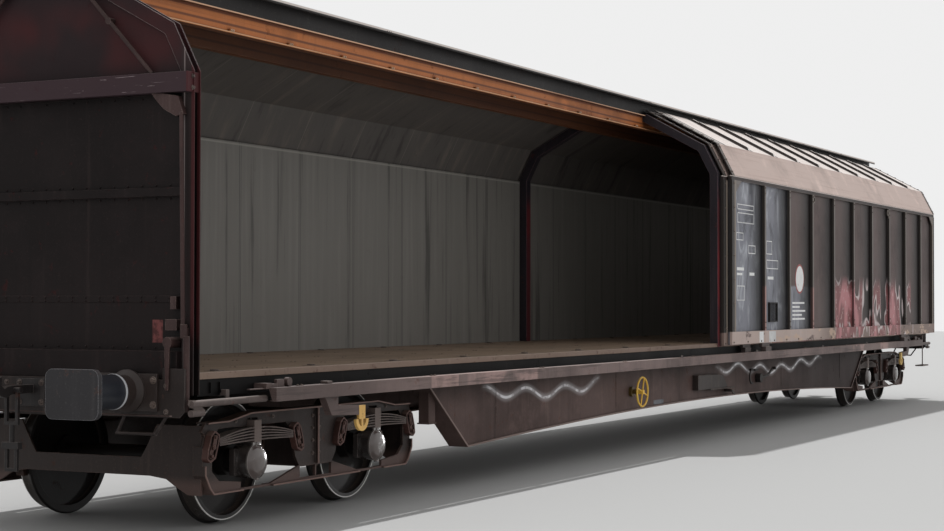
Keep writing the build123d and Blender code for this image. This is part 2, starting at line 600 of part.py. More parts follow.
def brake_rigging():
    """Shoes on both sides of each wheel, with the beams and hangers that carry them"""
    gap, thick, wheel_y = 12, 48, 765
    ring = Cylinder(TREAD_R + gap + thick, 76) - Cylinder(TREAD_R + gap, 80)
    ring = Rot(90, 0, 0) * ring
    inner_shoe = Pos(AXLE_X, wheel_y, AXLE_Z) * (ring & block((-560, -300), (-60, 60), (-150, 150)))
    outer_shoe = Pos(AXLE_X, wheel_y, AXLE_Z) * (ring & block((300, 560), (-60, 60), (-150, 150)))
    beam_y = 800
    beams = [block((340, 386), (-beam_y, beam_y), (430, 490)), block((1414, 1450), (-beam_y, beam_y), (430, 490))]
    hanger_y, eye_z = (784, beam_y), (670, 694)
    hangers = [block((348, 366), hanger_y, (490, 700)) + block((TRANSOM_HALF, 348), hanger_y, eye_z),
               block((1424, 1442), hanger_y, (490, 700)) + block((1442, END_PLATE[0]), hanger_y, eye_z)]
    shoes = [inner_shoe, outer_shoe]
    return both_ends([joined(beams[i:i + 1] + both_sides([shoes[i], hangers[i]])) for i in (0, 1)])


def wheelset():
    """An axle and its two wheels, turned from one half outline of radius and place across"""
    back, front, tread = WHEEL_BACK, WHEEL_FRONT, TREAD_R
    half = [(0, 0), (80, 0), (80, back + 10), (138, back + 10), (128, 732), (415, 724), (420, back), (476, back),
            (FLANGE_R, 692), (FLANGE_R - 4, 706), (tread + 6, 718), (tread, 745), (tread - 4, front), (420, front),
            (414, 752), (118, 768), (112, 850), (92, 852), (92, 900), (JOURNAL_R, 925), (JOURNAL_R, AXLE_END),
            (0, AXLE_END)]
    outline = make_face(Polyline(*[(r, y, 0) for r, y in half], close=True))
    turned = revolve(outline, Axis.Y)
    return Pos(0, 0, AXLE_Z) * (turned + near(turned))


# Files, one for each node
save("centre_sill", [centre_sill()])
save("cross_members", cross_members())
save("side_girder_far", side_girder())
save("side_girder_near", [near(piece) for piece in side_girder()])
save("headstock_b", headstock())
save("headstock_a", [other_end(piece) for piece in headstock()])
save("deck", [deck()])
save("end_wall_b", end_wall())
save("end_wall_a", [other_end(piece) for piece in end_wall()])
save("middle_hoop", both_sides([hoop_band(0, POST_DEPTH, -HOOP_HALF, HOOP_HALF, DECK_UNDER)]))
save("ridge_beam", ridge_beam())
save("ridge_cap", ridge_cap())

side, roof = wall_side(), wall_roof()
save("wall_far_right_side", [side])
save("wall_far_right_roof", [roof])
save("wall_far_left_side", [other_end(side)])
save("wall_far_left_roof", [other_end(roof)])
save("wall_near_right_side", [near(side)])
save("wall_near_right_roof", [near(roof)])
save("wall_near_slid_side", [near(slid_open(side))])
save("wall_near_slid_roof", [near(slid_open(roof))])
closed = carriages((900, 9400), 0, 0, (SIDE_SHEET[1], 1420))
slid = carriages((1500, 8900), SLIDE_OUT, SLIDE_UP, (1426, RAIL_Y[1]))
save("carriages_far", both_ends(closed))
save("carriages_near", [near(piece) for piece in closed + slid])
save("guide_rail_far", guide_rail())
save("guide_rail_near", [near(piece) for piece in guide_rail()])
save("lift_shaft_far", lift_shaft())
save("lift_shaft_near", [near(piece) for piece in lift_shaft()])
arms, hooks = rope_hook()
save("rope_hook_arms", both_ends(both_sides(arms)))
save("rope_hooks", both_ends(both_sides(hooks)))

save("buffers_b", both_sides([buffer()]))
save("buffers_a", [other_end(piece) for piece in both_sides([buffer()])])
save("draw_gear_b", [draw_gear()])
save("draw_gear_a", [other_end(draw_gear())])
save("wall_levers_b", both_sides(wall_lever_set()))
save("wall_levers_a", [other_end(piece) for piece in both_sides(wall_lever_set())])
save("corner_steps", [near(corner_step()), other_end(corner_step())])
save("handwheels", [other_end(near(handwheel())), handwheel()])
save("changeovers", both_sides(changeover()))
save("brake_cylinder", brake_cylinder())
save("air_reservoir", air_reservoir())

for letter, pivot in (("a", -PIVOT_X), ("b", PIVOT_X)):
    there = Pos(pivot, 0, 0)
    save(f"bogie_{letter}_frame", [there * piece for piece in bogie_frame()])
    save(f"bogie_{letter}_axle_boxes", [there * piece for piece in at_axle_boxes(axle_box())])
    save(f"bogie_{letter}_springs", [there * piece for piece in at_axle_boxes(leaf_spring())])
    links = [spring_link(), other_end(spring_link())]
    save(f"bogie_{letter}_links", [there * piece for link in links for piece in at_axle_boxes(link)])
    save(f"bogie_{letter}_brakes", [there * piece for piece in brake_rigging()])
    for number, axle in ((1, -AXLE_X), (2, AXLE_X)):
        save(f"wheelset_{letter}{number}", [there * Pos(axle, 0, 0) * wheelset()])
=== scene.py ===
import json
import math

import bmesh
import bpy
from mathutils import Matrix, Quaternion, Vector

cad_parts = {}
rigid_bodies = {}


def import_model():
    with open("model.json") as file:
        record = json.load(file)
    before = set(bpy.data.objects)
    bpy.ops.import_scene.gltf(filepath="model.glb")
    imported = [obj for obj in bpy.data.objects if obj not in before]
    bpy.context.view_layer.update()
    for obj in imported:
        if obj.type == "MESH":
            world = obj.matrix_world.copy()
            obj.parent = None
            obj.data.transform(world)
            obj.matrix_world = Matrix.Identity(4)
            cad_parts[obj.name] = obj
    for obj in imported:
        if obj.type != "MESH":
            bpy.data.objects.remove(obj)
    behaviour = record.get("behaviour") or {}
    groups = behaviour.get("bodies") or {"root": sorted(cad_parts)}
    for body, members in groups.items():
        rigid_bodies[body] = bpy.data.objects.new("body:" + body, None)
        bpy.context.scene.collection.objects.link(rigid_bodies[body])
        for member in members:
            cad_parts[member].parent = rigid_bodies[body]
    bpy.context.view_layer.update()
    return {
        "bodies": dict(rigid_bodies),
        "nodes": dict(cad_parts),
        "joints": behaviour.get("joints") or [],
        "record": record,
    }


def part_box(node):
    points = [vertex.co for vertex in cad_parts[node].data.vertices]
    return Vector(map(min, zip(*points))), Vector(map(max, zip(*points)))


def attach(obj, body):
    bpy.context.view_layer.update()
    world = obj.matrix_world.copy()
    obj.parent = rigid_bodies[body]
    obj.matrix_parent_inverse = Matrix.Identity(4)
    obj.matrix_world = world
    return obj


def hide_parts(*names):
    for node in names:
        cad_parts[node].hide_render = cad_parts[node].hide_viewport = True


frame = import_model()
nodes = frame["nodes"]

# Underframe: a box beam along the middle, cross members and a headstock at each end, welded from steel
# plate and painted once in brown-black. Dust lies on every ledge and the edges are rubbed.
RAIL_TOP = 0.028
SIDES = (-1, 1)
# Near-black of the painted shade that darkens corners and recesses
RECESS_SHADE_BLACK = (0.006, 0.005, 0.005, 1.0)


def tone(red, green, blue):
    """A paint colour, from 0 to 255 as on a colour chart, turned into the share of light it sends back."""
    return (*(((value / 255 + 0.055) / 1.055) ** 2.4 for value in (red, green, blue)), 1.0)


def added(tree, kind, settings, inputs):
    """A new node of a tree: its settings first, then the values or links of its sockets."""
    node = tree.nodes.new(kind)
    for name, value in settings.items():
        setattr(node, name, value)
    for key, value in inputs.items():
        if isinstance(value, bpy.types.NodeSocket):
            tree.links.new(value, node.inputs[key])
        else:
            node.inputs[key].default_value = value
    return node


class Field:
    """A value or colour that varies over a surface: one output socket of a material's tree."""

    def __init__(self, tree, socket):
        self.tree = tree
        self.socket = socket

    def made(self, kind, settings, inputs, output=0):
        """A new node of this tree, with values or fields at its sockets."""
        sockets = {key: value.socket if isinstance(value, Field) else value
                   for key, value in inputs.items()}
        return Field(self.tree, added(self.tree, kind, settings, sockets).outputs[output])

    def maths(self, operation, first, second=0.0):
        return self.made("ShaderNodeMath", {"operation": operation}, {0: first, 1: second})

    def __add__(self, other):
        return self.maths("ADD", self, other)

    def __sub__(self, other):
        return self.maths("SUBTRACT", self, other)

    def __rsub__(self, other):
        return self.maths("SUBTRACT", other, self)

    def __mul__(self, other):
        return self.maths("MULTIPLY", self, other)

    __radd__ = __add__
    __rmul__ = __mul__

    def most(self, other):
        return self.maths("MAXIMUM", self, other)

    def size(self):
        return self.maths("ABSOLUTE", self)

    def root(self):
        return self.maths("SQRT", self)

    def sine(self):
        return self.maths("SINE", self)

    def ramp(self, low, high, to_low=0.0, to_high=1.0):
        """This value from low to high turned smoothly into a value from to_low to to_high."""
        return self.made("ShaderNodeMapRange", {"interpolation_type": "SMOOTHSTEP"},
                         {"Value": self, "From Min": low, "From Max": high,
                          "To Min": to_low, "To Max": to_high})

    def fall(self, low, high):
        """From 1 to 0 as this value goes from low to high."""
        return self.ramp(low, high, 1.0, 0.0)

    def past(self, edge, soft=0.003):
        """1 where this value is above an edge, 0 below it."""
        return self.ramp(edge - soft, edge + soft)

    def short_of(self, edge, soft=0.003):
        """1 where this value is below an edge, 0 above it."""
        return self.fall(edge - soft, edge + soft)

    def between(self, low, high, soft=0.004):
        """1 where this value lies between two others, 0 outside them."""
        return self.past(low, soft) * self.short_of(high, soft)

    def every(self, pitch, start=0.0):
        """Distance from the nearest of a row of lines, one every pitch from start."""
        steps = (self - start) * (1.0 / pitch) + 0.5
        return (self.maths("FRACT", steps) - 0.5).size() * pitch

    def part(self, letter):
        """One of the three distances of a place or direction."""
        return self.made("ShaderNodeSeparateXYZ", {}, {0: self}, "XYZ".index(letter))

    def stretched(self, x, y, z):
        """This place with its distances multiplied, so that patterns on it are squeezed or drawn out."""
        return self.made("ShaderNodeVectorMath", {"operation": "MULTIPLY"}, {0: self, 1: (x, y, z)})

    def noise(self, scale, detail=4.0, roughness=0.55, swirl=0.0):
        return self.made("ShaderNodeTexNoise", {}, {"Vector": self, "Scale": scale, "Detail": detail,
                                                    "Roughness": roughness, "Distortion": swirl})


class Finish:
    """A surface in the making, from its first coat to its wear, and then its material."""

    def __init__(self, name, paint, roughness, rounding):
        self.bare = bpy.data.materials.new(name)
        self.bare.use_nodes = True
        self.tree = self.bare.node_tree
        self.shader = self.tree.nodes["Principled BSDF"]
        self.shader.inputs["Specular IOR Level"].default_value = 0.3
        self.place = Field(self.tree, self.tree.nodes.new("ShaderNodeTexCoord").outputs["Object"])
        self.normal = Field(self.tree, self.tree.nodes.new("ShaderNodeNewGeometry").outputs["Normal"])
        self.softened = self.place.made("ShaderNodeBevel", {"samples": 4}, {"Radius": rounding})
        turned = self.place.made("ShaderNodeVectorMath", {"operation": "DOT_PRODUCT"},
                                 {0: self.softened, 1: self.normal}, 1)
        self.edge = (1.0 - turned).ramp(0.02, 0.22)
        self.coat = paint
        self.roughness = roughness
        self.height = 0.0

    def cover(self, colour, share):
        """Another colour over the present coat, by a share from 0 to 1."""
        self.coat = self.place.made("ShaderNodeMix", {"data_type": "RGBA"},
                                    {0: share, 6: self.coat, 7: colour}, 2)

    def recess(self, reach):
        """From 0 in the open to 1 deep in corners, looking as far as reach in metres."""
        open_share = self.place.made("ShaderNodeAmbientOcclusion", {"samples": 4}, {"Distance": reach}, 1)
        return (1.0 - open_share).ramp(0.15, 0.85)

    def material(self):
        """The material, once its coat, roughness and relief are joined to the shader."""
        if not self.shader.inputs["Base Color"].is_linked:
            bump = self.place.made("ShaderNodeBump", {}, {"Height": self.height, "Distance": 1.0,
                                                          "Normal": self.softened})
            for socket, value in (("Base Color", self.coat), ("Roughness", self.roughness), ("Normal", bump)):
                self.tree.links.new(value.socket, self.shader.inputs[socket])
        return self.bare


def tinted(colour, share):
    """A colour with all of its light changed by one share, up to full white."""
    return tuple(min(1.0, share * value) for value in colour)


def weathered(name, paint, dust, rust, rubbed=0.5, streaks=0.4, rusty=0.5, ledges=0.6, recess_shade=0.5,
              dents=0.0, roughness=0.55, rounding=0.006):
    """Old painted steel: its paint, dust and rust colours, how much of each kind of wear it has, and how much
    painted shade darkens its recesses.
    """
    finish = Finish(name, paint, roughness, rounding)
    place = finish.place
    clouds = place.noise(0.8, 5.0, 0.6)
    grain = place.noise(60.0, 4.0, 0.65)
    finish.cover(tinted(paint, 0.55), clouds.ramp(0.46, 0.66) * 0.8)
    finish.cover(tinted(paint, 1.5), place.noise(2.3, 6.0, 0.7).ramp(0.52, 0.72) * 0.45)
    runs = place.stretched(11.0, 11.0, 0.45).noise(1.0, 5.0, 0.65)
    finish.cover(dust, runs.ramp(0.54, 0.76) * (0.6 * streaks))
    finish.cover(tinted(paint, 0.4), runs.fall(0.30, 0.46) * streaks)
    flakes = place.noise(7.0, 7.0, 0.75).ramp(0.60, 0.66)
    finish.cover(rust, flakes * rusty)
    # Painted shade: corners and recesses darkened towards near-black by ambient occlusion
    finish.cover(RECESS_SHADE_BLACK, finish.recess(0.16) * recess_shade)
    finish.cover(dust, finish.normal.part("Z").ramp(0.35, 0.9) * (clouds * 0.6 + 0.35) * ledges)
    worn_edge = finish.edge * place.noise(11.0, 5.0, 0.7).ramp(0.38, 0.6)
    finish.cover(tinted(dust, 1.3), worn_edge * rubbed)
    finish.cover(dust, grain.ramp(0.56, 0.78) * 0.25)
    finish.roughness = clouds * 0.3 + (roughness - 0.15) + flakes * 0.15
    finish.height = grain * 0.0008 + flakes * -0.0008 + place.noise(1.6, 2.0, 0.5) * (0.02 * dents)
    return finish


def dress(finish, *names):
    """Gives one finish to CAD nodes."""
    for name in names:
        nodes[name].data.materials.clear()
        nodes[name].data.materials.append(finish.material())


def linked(name, data):
    """A new object of the scene that holds a mesh, a light or a camera."""
    thing = bpy.data.objects.new(name, data)
    bpy.context.scene.collection.objects.link(thing)
    return thing


def placed(name, mesh, body):
    """A finished piece at the origin that rides on a body."""
    piece = linked(name, mesh)
    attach(piece, body)
    return piece


record = frame["record"]
body_of = {name: body for body, names in record["behaviour"]["bodies"].items() for name in names}


def turned_piece(finish, *names):
    """Pieces of the same shape as CAD nodes, in their place, with round faces shaded as smooth ones."""
    pieces = []
    for name in names:
        mesh = nodes[name].data.copy()
        mesh.attributes.remove(mesh.attributes["custom_normal"])
        shape = bmesh.new()
        shape.from_mesh(mesh)
        bmesh.ops.remove_doubles(shape, verts=shape.verts, dist=0.00005)
        shape.to_mesh(mesh)
        shape.free()
        mesh.shade_smooth()
        mesh.set_sharp_from_angle(angle=math.radians(32))
        mesh.materials.clear()
        mesh.materials.append(finish.material())
        pieces.append(placed(name + "_smooth", mesh, body_of[name]))
        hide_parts(name)
    return pieces


frame_paint = weathered("frame_paint", tone(43, 35, 33), tone(112, 98, 92), tone(88, 54, 42), streaks=0.5)
dress(frame_paint, "centre_sill", "cross_members", "headstock_a", "headstock_b")

# Brake cylinder and air reservoir: welded steel drums, sprayed dark grey, each hung from the underframe
# by the saddles that are welded to it.
tank_paint = weathered("tank_paint", tone(58, 56, 56), tone(128, 120, 114), tone(96, 60, 44), streaks=0.2)
turned_piece(tank_paint, "brake_cylinder", "air_reservoir")

# Bolts and rivets of the underframe: forged steel heads on washers, driven up tight and painted over,
# with the paint gone from their corners.


def new_tree(name, inputs):
    """An empty Geometry Nodes tree with named inputs, and the sockets that give them."""
    tree = bpy.data.node_groups.new(name, "GeometryNodeTree")
    for label, kind in inputs:
        tree.interface.new_socket(label, in_out="INPUT", socket_type="NodeSocket" + kind)
    tree.interface.new_socket("Geometry", in_out="OUTPUT", socket_type="NodeSocketGeometry")
    return tree, tree.nodes.new("NodeGroupInput").outputs


def closed_tree(tree, given, shape):
    """The tree with its last nodes, which give its material to the shape and send it out."""
    coated = added(tree, "GeometryNodeSetMaterial", {}, {0: shape.outputs[0], "Material": given["Material"]})
    added(tree, "NodeGroupOutput", {}, {0: coated.outputs[0]})
    return tree


def bolt_tree():
    """A washer and a head on every point, turned to its facing and spun by chance."""
    tree, given = new_tree("bolts", (("Geometry", "Geometry"), ("Head Radius", "Float"),
                                     ("Head Height", "Float"), ("Top Share", "Float"),
                                     ("Washer Radius", "Float"), ("Washer Height", "Float"),
                                     ("Sides", "Int"), ("Material", "Material")))
    top = added(tree, "ShaderNodeMath", {"operation": "MULTIPLY"},
                {0: given["Head Radius"], 1: given["Top Share"]})
    lift = added(tree, "ShaderNodeCombineXYZ", {}, {"Z": given["Washer Height"]})
    washer = added(tree, "GeometryNodeMeshCone", {},
                   {"Vertices": 12, "Radius Top": given["Washer Radius"],
                    "Radius Bottom": given["Washer Radius"], "Depth": given["Washer Height"]})
    head = added(tree, "GeometryNodeMeshCone", {},
                 {"Vertices": given["Sides"], "Radius Top": top.outputs[0],
                  "Radius Bottom": given["Head Radius"], "Depth": given["Head Height"]})
    raised = added(tree, "GeometryNodeTransform", {},
                   {"Geometry": head.outputs[0], "Translation": lift.outputs[0]})
    both = added(tree, "GeometryNodeJoinGeometry", {}, {0: washer.outputs[0]})
    tree.links.new(raised.outputs[0], both.inputs[0])
    facing = added(tree, "GeometryNodeInputNamedAttribute", {"data_type": "FLOAT_VECTOR"},
                   {"Name": "facing"})
    turn = added(tree, "FunctionNodeAlignRotationToVector", {"axis": "Z"}, {"Vector": facing.outputs[0]})
    heads = added(tree, "GeometryNodeInstanceOnPoints", {},
                  {"Points": given["Geometry"], "Instance": both.outputs[0], "Rotation": turn.outputs[0]})
    chance = added(tree, "FunctionNodeRandomValue", {"data_type": "FLOAT"}, {3: math.pi, "Seed": 5})
    spin = added(tree, "ShaderNodeCombineXYZ", {}, {"Z": chance.outputs[1]})
    spun = added(tree, "GeometryNodeRotateInstances", {},
                 {"Instances": heads.outputs[0], "Rotation": spin.outputs[0], "Local Space": True})
    solid = added(tree, "GeometryNodeRealizeInstances", {}, {"Geometry": spun.outputs[0]})
    return closed_tree(tree, given, solid)


def grown(name, tree, mesh, sizes):
    """What a tree makes of a mesh of points or lines, as a plain mesh."""
    seed = linked(name, mesh)
    modifier = seed.modifiers.new("made", "NODES")
    modifier.node_group = tree
    for item in tree.interface.items_tree:
        if item.in_out == "INPUT" and item.name in sizes:
            modifier[item.identifier] = sizes[item.name]
    result = bpy.data.meshes.new_from_object(seed.evaluated_get(bpy.context.evaluated_depsgraph_get()))
    seed.modifiers.remove(modifier)
    bpy.data.objects.remove(seed)
    result.name = name
    return result


BOLTS = bolt_tree()
# Head height and washer radius over head radius, top over foot, washer height in metres, sides of the head
BOLT_FORM = (0.75, 1.5, 0.9, 0.004, 6)
RIVET_FORM = (0.45, 1.02, 0.55, 0.0015, 10)


def bolts(name, body, finish, spots, radius, rivet=False):
    """Bolt heads, or low round rivets, at places in the wagon's frame, each with the way that it faces."""
    points = bpy.data.meshes.new(name)
    points.from_pydata([place for place, _ in spots], [], [])
    facing = points.attributes.new("facing", "FLOAT_VECTOR", "POINT")
    for value, (_, way) in zip(facing.data, spots):
        value.vector = way
    tall, wide, top, washer_height, sides = RIVET_FORM if rivet else BOLT_FORM
    sizes = {"Head Radius": radius, "Head Height": radius * tall, "Top Share": top,
             "Washer Radius": radius * wide, "Washer Height": washer_height, "Sides": sides,
             "Material": finish.material()}
    return placed(name, grown(name, BOLTS, points, sizes), body)


def steps(first, last, count):
    """Evenly spaced values from first to last."""
    return [first + (last - first) * k / (count - 1) for k in range(count)]


bolt_steel = weathered("bolt_steel", tone(78, 66, 62), tone(150, 136, 128), tone(104, 66, 50),
                       rubbed=0.9)
HEADSTOCK_X = 11.000
bolts("headstock_bolts", "carbody", bolt_steel,
      [((end * HEADSTOCK_X, side * y, RAIL_TOP + z), (end, 0, 0))
       for end in SIDES for side in SIDES for y in (0.235, 0.33, 1.19) for z in (0.90, 1.08)], 0.014)

# Side girders: fish-bellied plates of welded steel under the sill, brown and dusty. A loose chalky wave
# is sprayed along the near one, and a blank plate is riveted on.
GIRDER_FACE, FLANGE_EDGE = 1.207, 1.227
SILL_UNDER = 1.000
SPLICE_PITCH = 2.962
GIRDER_BROWN = (tone(100, 82, 78), tone(140, 120, 111), tone(104, 66, 52))


def girder_finish(name):
    """Dusty brown paint: painted shade under the sill, a near-black painted shadow on the sill's face, darker
    along the closed half, a painted highlight on the flange's edge.
    """
    finish = weathered(name, *GIRDER_BROWN, streaks=0.3, rusty=0.35, dents=0.35, rubbed=0.75, recess_shade=0.7)
    place = finish.place
    along, height = place.part("X"), place.part("Z") - RAIL_TOP
    # Painted shade: darker towards the top of the girder, under the sill
    finish.cover(tone(30, 25, 24), height.ramp(0.70, 0.96) * 0.6 * (0.4 + place.noise(1.2, 4.0)))
    finish.cover(tone(34, 24, 24), along.ramp(0.5, 5.0) * 0.8)
    # Painted shadow: the sill's face under the deck turned near-black
    finish.cover(tone(9, 7, 7), height.ramp(SILL_UNDER - 0.015, SILL_UNDER))
    from_splice = along.every(SPLICE_PITCH) * along.size().ramp(1.0, 1.4)
    finish.cover(tone(40, 33, 31), from_splice.between(0.004, 0.012, 0.003) * 0.5)
    # Painted highlight along the outer face of the lower flange
    edge_highlight = place.part("Y").size().ramp(FLANGE_EDGE - 0.007, FLANGE_EDGE - 0.002) * height.fall(0.94, 0.95)
    finish.cover(tone(156, 138, 132), edge_highlight * (0.4 + place.noise(3.0, 5.0) * 0.6))
    finish.shader.inputs["Specular IOR Level"].default_value = 0.1
    return finish


WAVE_HEIGHT = 0.80
near_girder = girder_finish("near_girder_paint")
place = near_girder.place
along = place.part("X")
swing = (along * 6.9).sine() * 0.05 + (along * 1.7).sine() * 0.035
off_line = (place.part("Z") - (RAIL_TOP + WAVE_HEIGHT) - swing).size()
sprayed = along.between(-6.1, -3.5, 0.15).most(along.between(0.4, 4.8, 0.2))
chalk = off_line.ramp(0.009, 0.019, 0.95, 0.0) * (0.35 + place.noise(9.0, 3.0).ramp(0.35, 0.6) * 0.65)
halo = off_line.ramp(0.0, 0.06, 0.3, 0.0)
on_face = near_girder.normal.part("Y").fall(-0.9, -0.8)
near_girder.cover(tone(244, 242, 245), chalk.most(halo) * sprayed * on_face)
dress(near_girder, "side_girder_near")
dress(girder_finish("far_girder_paint"), "side_girder_far")


def finished(name, shape, body, finish):
    """A mesh in the making turned into a finished piece, with its faces pointing outwards."""
    bmesh.ops.recalc_face_normals(shape, faces=shape.faces)
    mesh = bpy.data.meshes.new(name)
    shape.to_mesh(mesh)
    shape.free()
    mesh.materials.append(finish.material())
    return placed(name, mesh, body)


def plates(name, body, finish, blocks, rounding=0.0015):
    """Small plates and strips with broken edges, each between two X, two Y and two Z values."""
    shape = bmesh.new()
    for spans in blocks:
        for corner in bmesh.ops.create_cube(shape, size=1.0)["verts"]:
            corner.co = Vector(sum(span) / 2 + share * (span[1] - span[0])
                               for share, span in zip(corner.co[:], spans))
    bmesh.ops.bevel(shape, geom=list(shape.edges), offset=rounding, segments=1, affect="EDGES")
    return finished(name, shape, body, finish)


def mirrored(side, near, far):
    """Two distances from the middle as the span between them on one side, or at one end."""
    return tuple(sorted((side * near, side * far)))


PLATE_FACE = GIRDER_FACE + 0.002
sign_grey = weathered("sign_grey", tone(120, 122, 128), tone(160, 156, 152), tone(110, 80, 66), rusty=0.2)
plates("girder_plates", "carbody", sign_grey,
       [(mirrored(side, 1.54, 1.85), mirrored(side, GIRDER_FACE, PLATE_FACE), (0.526, 0.577))
        for side in SIDES], 0.0008)
bolts("girder_plate_rivets", "carbody", bolt_steel,
      [((side * x, side * PLATE_FACE, z), (0, side, 0))
       for side in SIDES for x in (1.56, 1.83) for z in (0.534, 0.569)], 0.005, rivet=True)

# Weld seams of the girders and headstocks: beads of steel laid by hand along each joint of two plates,
# and painted with them.


def weld_tree():
    """An uneven half-round bead along every line of a mesh."""
    tree, given = new_tree("weld_beads", (("Geometry", "Geometry"), ("Bead Radius", "Float"),
                                          ("Step", "Float"), ("Material", "Material")))
    path = added(tree, "GeometryNodeMeshToCurve", {}, {0: given["Geometry"]})
    fine = added(tree, "GeometryNodeResampleCurve", {"mode": "LENGTH"},
                 {"Curve": path.outputs[0], "Length": given["Step"]})
    chance = added(tree, "FunctionNodeRandomValue", {"data_type": "FLOAT"}, {2: 0.75, 3: 1.2, "Seed": 9})
    uneven = added(tree, "ShaderNodeMath", {"operation": "MULTIPLY"},
                   {0: given["Bead Radius"], 1: chance.outputs[1]})
    ring = added(tree, "GeometryNodeCurvePrimitiveCircle", {}, {"Resolution": 6, "Radius": 1.0})
    bead = added(tree, "GeometryNodeCurveToMesh", {},
                 {"Curve": fine.outputs[0], "Profile Curve": ring.outputs[0], "Scale": uneven.outputs[0],
                  "Fill Caps": True})
    return closed_tree(tree, given, bead)


WELDS = weld_tree()
BEAD_RADIUS = 0.005


def welds(name, body, finish, lines, step=0.035):
    """Beads along lines of points in the wagon's frame."""
    mesh = bpy.data.meshes.new(name)
    points, edges = [], []
    for path in lines:
        edges += [(len(points) + k, len(points) + k + 1) for k in range(len(path) - 1)]
        points += path
    mesh.from_pydata(points, edges, [])
    sizes = {"Bead Radius": BEAD_RADIUS, "Step": step, "Material": finish.material()}
    return placed(name, grown(name, WELDS, mesh, sizes), body)


FOOT_X, FOOT_Z, CROWN_Z, FLANGE = 6.50, 0.343, 0.486, 0.016
foot_line = [(x, CROWN_Z + FLANGE + (FOOT_Z - CROWN_Z) * (x / FOOT_X) ** 2 + RAIL_TOP)
             for x in steps(-FOOT_X, FOOT_X, 15)]
sill_line = [(x, SILL_UNDER + RAIL_TOP) for x in (-7.3, 7.3)]
girder_lines = [[(x, side * GIRDER_FACE, z) for x, z in path]
                for side in SIDES for path in (foot_line, sill_line)]
headstock_lines = [[(end * HEADSTOCK_X, y, 0.872 + RAIL_TOP) for y in (-1.24, 1.24)] for end in SIDES]
welds("underframe_welds", "carbody", near_girder, girder_lines + headstock_lines)

# Deck: plywood panels, screwed down in rows on the cross members, with a rolled steel edge and lashing
# rings sunk in pressed plates along both sides.
DECK_TOP = 1.165 + RAIL_TOP
PANEL, FIRST_SEAM, LONG_SEAM = 1.30, 0.65, 0.623
STEEL_EDGE = 1.267
deck_boards = weathered("deck_boards", tone(126, 104, 84), tone(170, 154, 138), tone(92, 66, 48),
                        rubbed=0.2, streaks=0.0, rusty=0.35, ledges=0.35, recess_shade=0.4)
place = deck_boards.place
along, across = place.part("X"), place.part("Y").size()
grain = place.stretched(0.35, 22.0, 1.0).noise(1.0, 6.0, 0.7)
deck_boards.cover(tone(88, 68, 52), grain.ramp(0.45, 0.7) * 0.6)
seam = along.every(PANEL, FIRST_SEAM).fall(0.002, 0.006).most(
    across.between(LONG_SEAM - 0.003, LONG_SEAM + 0.003, 0.002))
deck_boards.cover(tone(34, 26, 21), seam * 0.85)
scuffs = place.stretched(3.0, 0.5, 1.0).noise(2.6, 6.0, 0.75).ramp(0.58, 0.68)
deck_boards.cover(tone(182, 166, 148), scuffs * 0.45)
steel_edge = across.past(STEEL_EDGE, 0.002)
deck_boards.cover(tone(132, 112, 100), steel_edge * (0.55 + place.noise(4.0, 5.0) * 0.4))
deck_boards.cover(tone(86, 52, 38), steel_edge * place.noise(9.0, 6.0, 0.7).ramp(0.56, 0.66) * 0.8)
deck_boards.height = deck_boards.height + seam * -0.002
dress(deck_boards, "deck")
screw_spots = [((x + shift, y, DECK_TOP), (0, 0, 1)) for x in steps(-9.75, 9.75, 16)
               for shift in (-0.03, 0.03) for y in steps(-1.17, 1.17, 9)]
bolts("deck_screws", "carbody", bolt_steel, screw_spots, 0.008, rivet=True)
ring_places = [(x, side * 1.17) for x in steps(-10.4, 10.4, 17) for side in SIDES]
plates("lashing_plates", "carbody", bolt_steel,
       [((x - 0.07, x + 0.07), (y - 0.045, y + 0.045), (DECK_TOP, DECK_TOP + 0.0025))
        for x, y in ring_places])
# The two ways across a ring and the way through its middle, where it lies flat and where it stands
LYING = (Vector((1, 0, 0)), Vector((0, 1, 0)), Vector((0, 0, 1)))
STANDING = (Vector((1, 0, 0)), Vector((0, 0, 1)), Vector((0, 1, 0)))


def rings(name, body, finish, places, radius, section, ways):
    """Round steel rings, each a circle of small round sections, as the three ways say."""
    around, across = 20, 8
    shape = bmesh.new()
    for centre in places:
        loops = []
        for turn in (2 * math.pi * k / around for k in range(around)):
            outward = ways[0] * math.cos(turn) + ways[1] * math.sin(turn)
            loops.append([shape.verts.new(Vector(centre) + outward * (radius + section * math.cos(a)) +
                                          ways[2] * section * math.sin(a))
                          for a in (2 * math.pi * j / across for j in range(across))])
        for k, loop in enumerate(loops):
            following = loops[(k + 1) % around]
            for j in range(across):
                onward = (j + 1) % across
                shape.faces.new((loop[j], following[j], following[onward], loop[onward]))
    piece = finished(name, shape, body, finish)
    piece.data.shade_smooth()
    return piece


rings("lashing_rings", "carbody", bolt_steel, [(x, y, DECK_TOP + 0.0055) for x, y in ring_places],
      0.028, 0.005, LYING)

# End walls: steel sheet between rolled posts, with a rib and two cross beams, riveted along its seams and
# painted red-brown, now nearly black. Pale scratches cross the beams.
SHEET_FACE, STRAP = 10.860, 0.004
POST_FRONT, POST_INNER = 10.904, 1.240
BEAM_LOW, BEAM_HIGH = 3.118, 3.262
GABLE = 3.270
end_paint = weathered("end_paint", tone(27, 19, 19), tone(74, 60, 58), tone(80, 34, 33), streaks=0.4,
                      rusty=0.3, dents=0.5, rubbed=0.8, recess_shade=0.7)
end_paint.shader.inputs["Specular IOR Level"].default_value = 0.15
place = end_paint.place
out, from_middle, height = place.part("X").size(), place.part("Y").size(), place.part("Z") - RAIL_TOP
gable = height.past(GABLE, 0.03)
end_paint.cover(tone(44, 32, 35), gable * 0.7)
red = height.between(3.30, 3.78, 0.14) * place.noise(0.9, 3.0).ramp(0.42, 0.62)
end_paint.cover(tone(84, 34, 35), red * 0.5)
